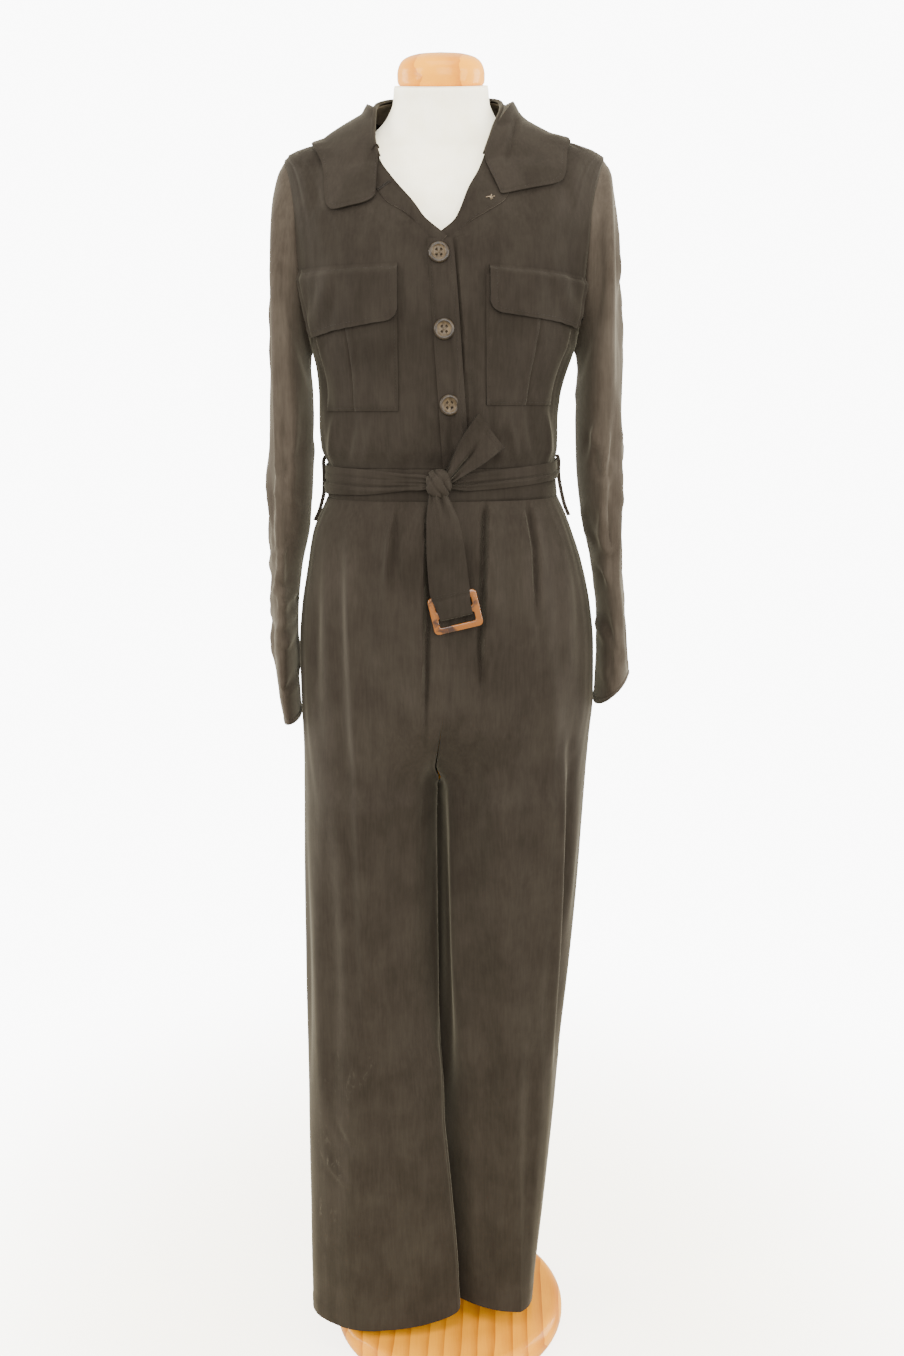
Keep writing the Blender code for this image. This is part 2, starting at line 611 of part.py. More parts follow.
def build_stand():
    turned_piece("stand_base", rounded_edge(BASE_RADIUS, 0.0, BASE_HEIGHT, BASE_HEIGHT * 0.45), 48, WOOD)
    turned_piece("stand_pole", [(0.0, BASE_HEIGHT + GAP), (POLE_RADIUS, BASE_HEIGHT + GAP),
                                (POLE_RADIUS, FORM_BOTTOM - GAP), (0.0, FORM_BOTTOM - GAP)], 16, WOOD)
    shape = ((0.0, 0.0), (0.95, 0.0), (0.99, 0.12), (1.0, 0.30), (0.98, 0.52), (0.90, 0.74),
             (0.72, 0.90), (0.38, 0.985), (0.0, 1.0))
    profile = [(radius * CAP_RADIUS, height * CAP_HEIGHT) for radius, height in shape]
    axis = (0.0, -math.sin(NECK_SLOPE), math.cos(NECK_SLOPE))
    turned_piece("neck_cap", profile, 32, WOOD, (0.0, axis[1] * GAP, NECK_TOP + GAP * 2.0), axis)


# ---- Bodice -------------------------------------------------------------------
BODICE_ROWS = [BODICE_BOTTOM, 1.230, 1.270, 1.305]
ARMHOLE_ROWS = [UNDERARM, 1.350, 1.375, 1.415, PLACKET_TOP]
SHOULDER_ROWS = [PLACKET_TOP + 0.004, 1.480, 1.505, 1.528, 1.545, SHOULDER_TIP]
NECK_ROWS = [1.563, 1.572, 1.584, 1.599, SIDE_NECK - 3.0 * GAP]
BACK_COLUMNS = 15
FRONT_RIGHT = bodice_panel("front_right", front_panel(-1))
FRONT_LEFT = bodice_panel("front_left", front_panel(1))
BACK = bodice_panel("back", back_panel)


def build_bodice():
    rows = BODICE_ROWS + ARMHOLE_ROWS + SHOULDER_ROWS + NECK_ROWS
    cloth_piece("front_right", FRONT_RIGHT, even(0.0, 1.0, 9), rows, CLOTH)
    cloth_piece("front_left", FRONT_LEFT, even(0.0, 1.0, 9), rows, CLOTH)
    rows.remove(PLACKET_TOP + 0.004)
    cloth_piece("back", BACK, even(0.0, 1.0, BACK_COLUMNS), rows, CLOTH)


def on_front(side):
    """The front's surface, folds and all, by angle and height."""
    panel = FRONT_LEFT if side > 0 else FRONT_RIGHT

    def surface(angle, z):
        inner = bodice_angle(front_middle(z), z)
        outer = armhole_edge(z, side, ARMHOLE_FRONT)
        low, high = (inner, outer) if side > 0 else (outer, inner)
        return panel((angle - low) / (high - low), z)
    return surface


def build_placket():
    def surface(across, z):
        x = front_middle(z) + (2.0 * across - 1.0) * PLACKET_HALF
        side = 1 if across > 0.5 else -1
        return on_front(side)(bodice_angle(x, z), z)
    rows = BODICE_ROWS + ARMHOLE_ROWS
    cloth_piece("placket", surface, [0.0, 0.45, 0.55, 1.0], rows, CLOTH, DOUBLE_WALL,
                LIFT + DOUBLE_WALL)
    shape = ((0.0, 0.0), (0.86, 0.0), (1.0, 0.35), (1.0, 0.70), (0.90, 1.0), (0.76, 0.98),
             (0.64, 0.66), (0.0, 0.60))
    profile = [(radius * BUTTON_RADIUS, height * BUTTON_HEIGHT) for radius, height in shape]
    for name, z in BUTTON_HEIGHTS.items():
        out = normal_of(surface, 0.46, z)
        spot = surface(0.46, z) + out * (LIFT + 2.0 * DOUBLE_WALL - GAP * 2.0)
        turned_piece(name, profile, 24, HORN, spot, out)


# Pockets and their flaps: where they begin, where they end (degrees) and their heights.
POCKETS = (SimpleNamespace(name="right", side=-1, inner=0.050, outer=60.0, low=1.266, high=1.418),
           SimpleNamespace(name="left", side=1, inner=0.049, outer=60.0, low=1.272, high=1.414))
FLAPS = (SimpleNamespace(name="right", side=-1, inner=0.0490, outer=62.5, top=(1.4265, 1.4255),
                         low=(1.3660, 1.3490)),
         SimpleNamespace(name="left", side=1, inner=0.0530, outer=62.5, top=(1.4250, 1.4150),
                         low=(1.3740, 1.3590)))
FLAP_WIDTH, FLAP_CORNER = 0.108, 0.011


def build_pockets():
    for pocket in POCKETS:
        def surface(across, z, pocket=pocket):
            inner = bodice_angle(pocket.side * pocket.inner, z)
            return on_front(pocket.side)(inner + (pocket.side * pocket.outer - inner) * across, z)
        across = [0.0, 0.24, 0.47, 0.53, 0.76, 1.0]
        rows = [pocket.low, 1.290, 1.315, UNDERARM, 1.370, 1.395, pocket.high]
        cloth_piece("pocket_" + pocket.name, surface, across, rows, CLOTH, WALL, 1.5 * LIFT + WALL,
                    outward=float(pocket.side))


def build_flaps():
    for flap in FLAPS:
        def surface(across, up, flap=flap):
            top = flap.top[0] + (flap.top[1] - flap.top[0]) * across
            low = flap.low[0] + (flap.low[1] - flap.low[0]) * across
            for away in (across * FLAP_WIDTH, (1.0 - across) * FLAP_WIDTH):
                if away < FLAP_CORNER:
                    short = 1.0 - away / FLAP_CORNER
                    low += FLAP_CORNER * (1.0 - math.sqrt(max(1.0 - short * short, 0.0)))
            z = low + (top - low) * up
            inner = bodice_angle(flap.side * flap.inner, z)
            return on_front(flap.side)(inner + (flap.side * flap.outer - inner) * across, z)
        lift = 2.5 * LIFT + WALL + DOUBLE_WALL
        across = [0.002, 0.02, 0.05, 0.11, 0.25, 0.40, 0.55, 0.70, 0.82, 0.90, 0.95, 0.98, 0.998]
        cloth_piece("flap_" + flap.name, surface, across, [0.0, 0.5, 1.0], CLOTH, DOUBLE_WALL,
                    lift, outward=float(flap.side))


# ---- Sleeves ------------------------------------------------------------------
def build_sleeves():
    for name, side, table in (("sleeve_right", -1, SLEEVE_RIGHT), ("sleeve_left", 1, SLEEVE_LEFT)):
        levels = [z for z in ARMHOLE_ROWS + SHOULDER_ROWS if z != PLACKET_TOP + 0.004]
        middle, half = 0.5 * (UNDERARM + SHOULDER_TIP), 0.5 * (SHOULDER_TIP - UNDERARM)
        heights = [min(max((z - middle) / half, -1.0), 1.0) for z in reversed(levels)]
        front = [math.acos(height) / (2.0 * math.pi) for height in heights]
        turns = front + [1.0 - turn for turn in reversed(front[1:-1])]
        rings = [0.0, 0.5, 1.1, 2.0] + [float(ring) for ring in table.keys[3:]]
        surface = sleeve_surface(side, table)
        centre = surface(0.0, 5.0) + surface(0.5, 5.0)
        out = normal_of(surface, 0.0, 5.0)
        outward = 1.0 if float(np.dot(out, surface(0.0, 5.0) - 0.5 * centre)) > 0.0 else -1.0
        cloth_piece(name, surface, turns, rings, CLOTH, closed=True, outward=outward, trimmed=())


# ---- Collar -------------------------------------------------------------------
def seam_point(place):
    """Where the collar is sewn on: along the fronts' edges and round the back of the neck."""
    side = -1 if place < 0.0 else 1
    distance = abs(place)
    if distance <= 1.0:
        angle = side * (180.0 - 90.0 * distance)
        z = SIDE_NECK - BACK_NECK_DROP * math.cos(0.5 * math.pi * distance)
        return bodice_point(angle, z)
    z = COLLAR.at(place).seam_z
    row = NECKLINE.at(z)
    on_edge = bodice_angle(row.right if side > 0 else row.left, z)
    share = min((distance - 1.0) / 0.2, 1.0)
    return bodice_point(side * 90.0 * (1.0 - share) + on_edge * share, z)


def fold_point(place):
    row = COLLAR.at(place)
    return np.array([row.fold_x, row.fold_y, row.fold_z])


def outside(point):
    """How far a point is outside the worn bodice, and the way out."""
    def share(x, y, z):
        row = BODICE.at(z)
        wide = x / (row.right if x >= 0.0 else -row.left)
        deep = y / (row.back if y >= 0.0 else -row.front)
        return (abs(wide) ** SQUARE + abs(deep) ** SQUARE) ** (1.0 / SQUARE) - 1.0
    step = 1e-4
    here = share(*point)
    slope = np.array([share(*(point + step * axis)) - share(*(point - step * axis))
                      for axis in np.eye(3)]) / (2.0 * step)
    steep = float(np.linalg.norm(slope))
    return here / steep, slope / steep


def clear_of_bodice(point, clearance):
    for _ in range(4):
        if point[2] < 1.611:
            distance, out = outside(point)
            if distance < clearance:
                point = point + out * (clearance - distance)
    return point


def stand_surface(place, up):
    seam, fold = seam_point(place), fold_point(place)
    low = 0.02 + 0.12 * smoothstep(2.4, 1.6, abs(place)) * smoothstep(0.8, 1.0, abs(place))
    point = seam + (fold - seam) * (low + (1.0 - low) * up)
    bow = 0.0010 * math.sin(math.pi * up)
    point[:2] += point[:2] / np.linalg.norm(point[:2]) * bow
    return point


def leaf_surface(place, down):
    row = COLLAR.at(place)
    edge = bodice_point(row.edge_angle, row.edge_z)
    fold = fold_point(place)
    start = fold + np.array([0.0, -0.0020, 0.0016])
    start[:2] += fold[:2] / np.linalg.norm(fold[:2]) * LEAF_OFFSET
    point = start + (edge - start) * down
    end = smoothstep(1.6, LEAF_END, abs(place))
    point[2] -= LEAF_BOW * end * abs(math.sin(math.pi * down)) ** 1.2
    point[:2] += point[:2] / np.linalg.norm(point[:2]) * 0.006 * (1.0 - end) * math.sin(math.pi * down)
    return clear_of_bodice(point, 2.0 * LIFT + DOUBLE_WALL + 0.0022 * (1.0 - down))


def place_at(z):
    """The place whose seam is at this height on a front."""
    low, high = 1.2, 5.0
    for _ in range(40):
        middle = 0.5 * (low + high)
        low, high = (middle, high) if COLLAR.at(middle).seam_z > z else (low, middle)
    return low


def build_collar():
    front = [place_at(z) for z in SHOULDER_ROWS + NECK_ROWS[:-1]] + [1.2]
    columns = even(-1.0, 1.0, BACK_COLUMNS)
    places = [-place for place in front] + columns + front[::-1]
    out = normal_of(stand_surface, 0.0, 0.5)
    outward = 1.0 if out[1] > 0.0 else -1.0
    cloth_piece("collar_stand", stand_surface, places, [0.01, 0.5, 0.97], CLOTH, WALL, outward=outward)
    places = even(-LEAF_END, LEAF_END, 31)
    cloth_piece("collar_leaf", leaf_surface, places, [0.0, 0.15, 0.38, 0.68, 1.0], CLOTH,
                DOUBLE_WALL, outward=outward)


# ---- Trousers -----------------------------------------------------------------
def leg_rows(hem):
    low = [hem, 0.160, 0.270, 0.370, 0.460, 0.560, 0.680]
    fork = [CROTCH + FORK * share for share in (0.0, 0.14, 0.34, 0.62, 1.0)]
    return low + fork + [0.985, 1.040, 1.080, 1.120, TROUSER_TOP]


# Piece, side, angles round the hips and round the leg, hem, pleated.
TROUSERS = (("trouser_front_right", -1, (-90.0, 0.0), (-90.0, 90.0), HEM_RIGHT, True),
            ("trouser_front_left", 1, (0.0, 90.0), (-90.0, 90.0), HEM_LEFT, True),
            ("trouser_back_right", -1, (270.0, 180.0), (270.0, 90.0), HEM_RIGHT, False),
            ("trouser_back_left", 1, (90.0, 180.0), (90.0, 270.0), HEM_LEFT, False))


def build_trousers():
    for name, side, hip_angles, leg_angles, hem, pleated in TROUSERS:
        surface = trouser_panel(name, side, hip_angles, leg_angles, pleated)
        across = even(0.0, 1.0, 11 if pleated else 8)
        grows = 1.0 if hip_angles[1] > hip_angles[0] else -1.0
        cloth_piece(name, surface, across, leg_rows(hem), CLOTH, outward=grows)


# ---- Waist --------------------------------------------------------------------
def waist_point(angle, z):
    """Between the top of the trousers and the bottom of the bodice."""
    share = min(max((z - TROUSER_TOP) / (BODICE_BOTTOM - TROUSER_TOP), 0.0), 1.0)
    row = HIPS.at(TROUSER_TOP)
    low = oval(angle, row.left, row.right, row.front, row.back, 0.0)
    high = bodice_point(angle, BODICE_BOTTOM)
    return np.array([low[0] + (high[0] - low[0]) * share, low[1] + (high[1] - low[1]) * share, z])


BELT = Table(            # lower and upper edge, from the knot round the back to the knot
    "angle  low     high",
    (7.5, 1.1740, 1.1960),
    (20.0, 1.1715, 1.1995),
    (60.0, 1.1760, 1.2020),
    (90.0, 1.1780, 1.2030),
    (180.0, 1.1690, 1.2030),
    (270.0, 1.1670, 1.2020),
    (330.0, 1.1680, 1.2020),
    (345.0, 1.1730, 1.1980))


def build_waist():
    opening = bodice_angle(front_middle(BODICE_BOTTOM), BODICE_BOTTOM)
    cloth_piece("waistband", waist_point, even(opening, opening + 360.0, 37),
                [TROUSER_TOP + GAP, BODICE_BOTTOM], CLOTH, WALL)

    def belt_surface(angle, up):
        row = BELT.at(angle)
        return waist_point(angle, row.low + (row.high - row.low) * up)
    cloth_piece("belt", belt_surface, even(BELT.keys[0], BELT.keys[-1], 37), [0.0, 1.0], CLOTH,
                BELT_WALL, BELT_LIFT + BELT_WALL)


def build_knot():
    points, faces = [], []
    rows, steps = 8, 12
    for row in range(rows + 1):
        lift = math.pi * (row / rows - 0.5)
        for step in range(steps if 0 < row < rows else 1):
            turn = 2.0 * math.pi * step / steps
            ridge = 1.0 + 0.06 * math.cos(3.0 * turn + 2.0 * lift)
            way = (math.cos(lift) * math.cos(turn), math.cos(lift) * math.sin(turn), math.sin(lift))
            points.append([centre + size * math.copysign(abs(part) ** 0.8, part) * ridge
                           for centre, size, part in zip(KNOT_CENTRE, KNOT_SIZE, way)])
    def at(row, step):
        return 0 if row == 0 else len(points) - 1 if row == rows else 1 + (row - 1) * steps + step % steps
    for row in range(rows):
        for step in range(steps):
            faces.append(tuple(dict.fromkeys((at(row, step), at(row, step + 1), at(row + 1, step + 1),
                                              at(row + 1, step)))))
    add_piece("belt_knot", points, faces, CLOTH)


TAIL_UP = Table(         # the short end, which stands up from the knot
    "along  x       y        z       half",
    (0.00, 0.0120, -0.1350, 1.1960, 0.0060),
    (0.25, 0.0200, -0.1372, 1.2060, 0.0110),
    (0.60, 0.0350, -0.1392, 1.2230, 0.0185),
    (1.00, 0.0545, -0.1400, 1.2440, 0.0232))
TAIL_END_HALF, TAIL_END_WALL = 0.0195, 0.0016      # where it is folded round the buckle's bar
TAIL_DOWN = Table(       # the long end, down to the buckle's middle bar; tilt is a share of its tilt
    "z      x       y        half    tilt",
    (1.1650, -0.0045, -0.1380, 0.0120, 0.0),
    (1.1400, -0.0005, -0.1395, 0.0190, 0.0),
    (1.1000, 0.0030, -0.1408, 0.0225, 0.4),
    (1.0640, 0.0065, -0.1412, 0.0235, 0.9),
    (1.0450, 0.0105, -0.1412, 0.0205, 1.0))


def build_tails():
    middles, sides, outs = [], [], []
    for along in (0.0, 0.12, 0.25, 0.45, 0.7, 1.0):
        row = TAIL_UP.at(along)
        middles.append((row.x, row.y, row.z))
        sides.append((-0.772 * row.half, 0.0, 0.635 * row.half))
        outs.append((0.0, -1.0, 0.0))
    strip_piece("belt_tail_up", middles, sides, outs, BELT_WALL, CLOTH)
    middles, sides, outs = [], [], []
    for z in (1.165, 1.150, 1.130, 1.110, 1.090, 1.072, 1.056, 1.045):
        row = TAIL_DOWN.at(z)
        tilt = row.tilt * -BUCKLE_TILT
        middles.append((row.x, row.y, z))
        sides.append((row.half * math.cos(tilt), 0.0, row.half * math.sin(tilt)))
        outs.append((0.0, -1.0, 0.0))
    tilt = -BUCKLE_TILT
    along = np.array([math.cos(tilt), 0.0, math.sin(tilt)])
    down = np.array([math.sin(tilt), 0.0, -math.cos(tilt)])
    wall = TAIL_END_WALL
    around = BUCKLE_BAR * 0.5 + 0.0014
    thick = BUCKLE_THICK * 0.5 + 0.0008
    centre = np.array(BUCKLE_CENTRE)
    for step in range(0, 7):
        turn = math.pi * step / 6
        out = np.array([0.0, -math.cos(turn), 0.0]) + down * math.sin(turn)
        ahead = math.copysign(abs(math.cos(turn)) ** 0.6, -math.cos(turn)) * (thick + wall)
        below = abs(math.sin(turn)) ** 0.6 * (around + wall)
        flat = np.array([0.0, ahead, 0.0]) + down * below
        middles.append(centre + flat)
        sides.append(along * TAIL_END_HALF)
        outs.append(out)
    strip_piece("belt_tail_down", middles, sides, outs, wall, CLOTH)


def build_buckle():
    """A frame with a middle bar, cut from one sheet and rounded along every edge."""
    wide, high, bar = BUCKLE_WIDTH / 2, BUCKLE_HEIGHT / 2, BUCKLE_BAR
    columns = (-wide, bar - wide, wide - bar, wide)
    levels = (-high, bar - high, -bar / 2, bar / 2, high - bar, high)
    shape = bmesh.new()
    corners = [[[shape.verts.new((x, y, z)) for y in (-BUCKLE_THICK / 2, BUCKLE_THICK / 2)]
                for z in levels] for x in columns]
    for i in range(len(columns) - 1):
        for j in range(len(levels) - 1):
            if i == 1 and j in (1, 3):
                continue
            for side in (0, 1):
                shape.faces.new((corners[i][j][side], corners[i + 1][j][side],
                                 corners[i + 1][j + 1][side], corners[i][j + 1][side]))
    front = [face for face in shape.faces if all(vert.co.y < 0.0 for vert in face.verts)]
    for edge in {edge for face in front for edge in face.edges}:
        if len([face for face in edge.link_faces if face in front]) == 1:
            a, b = edge.verts
            pair = [next(cell for row in corners for cell in row if cell[0] is vert) for vert in (a, b)]
            shape.faces.new((pair[0][0], pair[1][0], pair[1][1], pair[0][1]))
    bmesh.ops.recalc_face_normals(shape, faces=shape.faces)
    posts = [edge for edge in shape.edges
             if all(abs(abs(vert.co.x) - wide) < 1e-6 and abs(abs(vert.co.z) - high) < 1e-6
                    for vert in edge.verts)]
    bmesh.ops.bevel(shape, geom=posts, offset=0.0045, segments=4, affect="EDGES", profile=0.5)
    mesh = bpy.data.meshes.new("buckle")
    shape.to_mesh(mesh)
    shape.free()
    mesh.materials.append(AMBER)
    buckle = bpy.data.objects.new("buckle", mesh)
    bpy.context.scene.collection.objects.link(buckle)
    rounding = buckle.modifiers.new("rounded_edges", "BEVEL")
    rounding.width = 0.0009
    rounding.segments = 2
    rounding.limit_method = "ANGLE"
    rounding.angle_limit = math.radians(40.0)
    buckle.location = BUCKLE_CENTRE
    buckle.rotation_euler = (0.0, BUCKLE_TILT, 0.0)


# Belt loops at the side seams: outermost x and z down the loop.
LOOPS = {"belt_loop_right": ((-0.1466, 1.2120), (-0.1488, 1.2045), (-0.1494, 1.1900), (-0.1502, 1.1740),
                             (-0.1535, 1.1570), (-0.1580, 1.1400)),
         "belt_loop_left": ((0.1405, 1.2120), (0.1424, 1.2045), (0.1432, 1.1900), (0.1452, 1.1740),
                            (0.1480, 1.1580), (0.1535, 1.1410))}
LOOP_HALF_WIDTH = 0.004


def build_loops():
    for name, path in LOOPS.items():
        side = math.copysign(1.0, path[0][0])
        middles = [(x, 0.0, z) for x, z in path]
        sides = [(0.0, LOOP_HALF_WIDTH, 0.0)] * len(path)
        outs = []
        for index in range(len(path)):
            before, after = path[max(index - 1, 0)], path[min(index + 1, len(path) - 1)]
            along = np.array([after[0] - before[0], after[1] - before[1]])
            along /= np.linalg.norm(along)
            outs.append((side * abs(along[1]), 0.0, -side * along[0] * np.sign(along[1])))
        strip_piece(name, middles, sides, outs, WALL, CLOTH)


build_form()
build_stand()
build_bodice()
build_placket()
build_pockets()
build_flaps()
build_sleeves()
build_collar()
build_trousers()
build_waist()
build_knot()
build_tails()
build_buckle()
build_loops()
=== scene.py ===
# %% [markdown]
# # A belted jumpsuit on a dress form
# A long-sleeved jumpsuit in dark, sueded cloth hangs on a limbless form with a wooden neck cap,
# a pole and a round wooden base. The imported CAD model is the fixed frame: it says where every
# sewn piece is. This lesson gives each piece its drape, its folds and its finish.

# %% The frame
import math
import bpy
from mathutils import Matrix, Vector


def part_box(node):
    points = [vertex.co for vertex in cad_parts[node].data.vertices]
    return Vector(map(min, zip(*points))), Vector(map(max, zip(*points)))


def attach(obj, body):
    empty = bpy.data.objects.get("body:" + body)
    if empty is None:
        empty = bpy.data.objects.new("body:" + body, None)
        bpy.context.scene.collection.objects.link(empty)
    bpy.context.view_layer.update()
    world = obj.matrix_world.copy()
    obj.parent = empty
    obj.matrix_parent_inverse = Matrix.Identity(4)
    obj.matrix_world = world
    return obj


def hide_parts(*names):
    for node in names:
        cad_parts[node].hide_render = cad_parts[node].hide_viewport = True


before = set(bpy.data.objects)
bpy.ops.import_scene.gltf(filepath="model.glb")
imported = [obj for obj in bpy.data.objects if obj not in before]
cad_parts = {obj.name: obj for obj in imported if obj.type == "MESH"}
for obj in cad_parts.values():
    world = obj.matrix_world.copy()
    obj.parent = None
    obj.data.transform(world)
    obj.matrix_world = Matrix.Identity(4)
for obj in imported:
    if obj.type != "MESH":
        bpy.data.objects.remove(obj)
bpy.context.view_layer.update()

from types import SimpleNamespace

import bmesh
import bpy
import numpy as np
from mathutils import Matrix, Vector

# %% [markdown]
# ## Shader maths as Python
# A material is easier to read as a sum than as a web of nodes. `Value` wraps a socket, and its
# operators add the Math nodes. `Finish` holds one material and adds any other node by its type.

# %% A small shader language


class Value:
    """A number that changes over a surface: the operators add Math nodes."""

    def __init__(self, finish, socket):
        self.finish = finish
        self.socket = socket

    def math(self, operation, *others):
        return self.finish.node("ShaderNodeMath", {"operation": operation}, self, *others)

    def __add__(self, other):
        return self.math("ADD", other)

    def __sub__(self, other):
        return self.math("SUBTRACT", other)

    def __rsub__(self, other):
        return self.finish.node("ShaderNodeMath", {"operation": "SUBTRACT"}, other, self)

    def __mul__(self, other):
        return self.math("MULTIPLY", other)

    def __truediv__(self, other):
        return self.math("DIVIDE", other)

    def __rtruediv__(self, other):
        return self.finish.node("ShaderNodeMath", {"operation": "DIVIDE"}, other, self)

    def __pow__(self, other):
        return self.math("POWER", other)

    __radd__ = __add__
    __rmul__ = __mul__

    def between(self, low, high):
        """0 below one value, 1 above the other, and a smooth rise between them."""
        return self.finish.node("ShaderNodeMapRange", {"interpolation_type": "SMOOTHSTEP"},
                                self, float(low), float(high), 0.0, 1.0)


class Finish:
    """One material: its Principled shader, and the nodes that feed it."""

    def __init__(self, name, **constants):
        self.material = bpy.data.materials.new(name)
        self.material.use_nodes = True
        self.tree = self.material.node_tree
        self.shader = self.tree.nodes["Principled BSDF"]
        for socket, value in constants.items():
            self.shader.inputs[socket.replace("_", " ")].default_value = value
        self.place = Value(self, self.tree.nodes.new("ShaderNodeTexCoord").outputs["Object"])

    def node(self, kind, settings, *values, output=0, **named):
        made = self.tree.nodes.new(kind)
        for key, value in settings.items():
            if key == "stops":
                while len(made.color_ramp.elements) < len(value):
                    made.color_ramp.elements.new(0.5)
                for element, (position, colour) in zip(made.color_ramp.elements, value):
                    element.position = position
                    element.color = (*colour, 1.0)
            else:
                setattr(made, key, value)
        sockets = [(made.inputs[index], value) for index, value in enumerate(values)]
        sockets += [(made.inputs[key.replace("_", " ")], value) for key, value in named.items()]
        for socket, value in sockets:
            if isinstance(value, Value):
                self.tree.links.new(value.socket, socket)
            elif value is not None:
                socket.default_value = value
        return Value(self, made.outputs[output])

    def stretch(self, scale, turn=(0.0, 0.0, 0.0), centre=(0.0, 0.0, 0.0)):
        """The place on the object, moved, turned and stretched."""
        return self.node("ShaderNodeMapping", {}, self.place, centre, turn, scale)

    def noise(self, vector, scale, detail=3.0, roughness=0.55, distortion=0.0):
        return self.node("ShaderNodeTexNoise", {}, Vector=vector, Scale=scale, Detail=detail,
                         Roughness=roughness, Distortion=distortion)

    def blend(self, factor, first, second):
        """A colour between two colours."""
        made = self.tree.nodes.new("ShaderNodeMix")
        made.data_type = "RGBA"
        for socket, value in ((made.inputs[0], factor), (made.inputs[6], first), (made.inputs[7], second)):
            if isinstance(value, Value):
                self.tree.links.new(value.socket, socket)
            else:
                socket.default_value = (*value, 1.0) if isinstance(value, tuple) else value
        return Value(self, made.outputs[2])

    def near(self, spot, radius):
        """1 at a spot on the object, fading to 0 at a radius."""
        away = self.node("ShaderNodeVectorMath", {"operation": "DISTANCE"}, self.place, spot, output="Value")
        return 1.0 - away.between(radius * 0.25, radius)

    def feed(self, height=None, distance=0.001, strength=1.0, **sockets):
        """Links what changes over the surface to the shader."""
        for name, value in sockets.items():
            self.tree.links.new(value.socket, self.shader.inputs[name.replace("_", " ")])
        if height is not None:
            bump = self.node("ShaderNodeBump", {}, Height=height, Distance=distance, Strength=strength)
            self.tree.links.new(bump.socket, self.shader.inputs["Normal"])
        return self.material


print("shader language ready")

# %% [markdown]
# ## Sueded cloth
# The suit is cut from peach-skin: a dark olive-brown cloth whose surface is brushed to a very
# short nap. The nap lies in faint vertical streaks, catches light where the cloth turns away, and
# takes pale rub marks. So the colour mixes two browns by stretched noise, a sheen gives the pale
# edges, and the bump is a fine, short fur. The marks are on the wearer's right shin.

# %% The cloth's finish
CLOTH_DARK, CLOTH_LIGHT = (0.0090, 0.0068, 0.0048), (0.0186, 0.0150, 0.0112)
RUBBED = (0.050, 0.043, 0.032)


def sueded(name, painted_light_factor=1.0, sheen=0.15, marks=()):
    """The factor makes a paler or darker copy of the one cloth: well above 1 it is painted light, below 1 painted
    shade.
    """
    dark, light = [tuple(channel * painted_light_factor for channel in colour) for colour in (CLOTH_DARK, CLOTH_LIGHT)]
    cloth = Finish(name, Sheen_Weight=sheen, Sheen_Roughness=0.36, Sheen_Tint=(0.90, 0.83, 0.62, 1.0),
                   Specular_IOR_Level=0.05)
    streaks = cloth.noise(cloth.stretch((1.0, 1.0, 0.07)), 420.0, 4.0, 0.6)
    bands = cloth.noise(cloth.stretch((1.0, 1.0, 0.30)), 60.0, 4.0, 0.65, 0.6)
    patches = cloth.noise(cloth.place, 11.0, 4.0, 0.62)
    nap = cloth.noise(cloth.place, 1500.0, 2.0, 0.7)
    pale = streaks.between(0.30, 0.72) * 0.26 + bands.between(0.28, 0.74) * 0.28 + patches.between(0.3, 0.7) * 0.46
    colour = cloth.blend(pale, dark, light)
    if marks:
        rubs = None
        for spot, radius, amount in marks:
            mark = cloth.near(spot, radius) * amount
            rubs = mark if rubs is None else rubs.math("MAXIMUM", mark)
        scuff = cloth.noise(cloth.stretch((1.0, 1.0, 0.42)), 95.0, 5.0, 0.75, 0.8).between(0.56, 0.70)
        colour = cloth.blend(rubs * scuff, colour, RUBBED)
    rough = 0.80 + streaks * 0.14
    fur = nap * 0.55 + streaks * 0.45
    return cloth.feed(height=fur, distance=0.00022, strength=0.7, Base_Color=colour, Roughness=rough)


SHIN_MARKS = (((-0.171, -0.080, 0.215), 0.028, 0.95), ((-0.158, -0.088, 0.290), 0.030, 0.75),
              ((-0.165, -0.085, 0.345), 0.040, 0.55), ((-0.120, -0.100, 0.440), 0.045, 0.45),
              ((-0.150, -0.094, 0.400), 0.040, 0.40), ((-0.175, -0.076, 0.170), 0.020, 0.65),
              ((-0.130, -0.096, 0.345), 0.030, 0.35))
# Copies of the one cloth, paler or darker: the trousers a little paler than the bodice; the sleeves, belt loops
# and collar's inside are painted light; the darker inside is painted shade.
CLOTH = sueded("sueded_cloth", 1.08)
TROUSER_CLOTH = sueded("sueded_cloth_of_trousers", 1.25)
RUBBED_CLOTH = sueded("sueded_cloth_with_rub_marks", 1.32, marks=SHIN_MARKS)
# The sleeves' copy is far paler than the bodice's: painted light for the light their sides catch.
SLEEVE_CLOTH_PAINTED_LIGHTER = sueded("sueded_cloth_of_sleeves", 2.60, 0.18)
# The inside is a darker copy without sheen: painted shade on every sheet's rims and inner side, and in the
# buttons' holes.
UNDERSIDE_PAINTED_DARKER = sueded("sueded_cloth_inside", 0.45, 0.02)
FACING = sueded("facing_cloth", 1.15, 0.02)
# The collar's inside is a copy over four times paler: painted light where it faces the neck in shade.
COLLAR_INSIDE_PAINTED_LIGHTER = sueded("collar_inside_cloth", 4.5, 0.10)

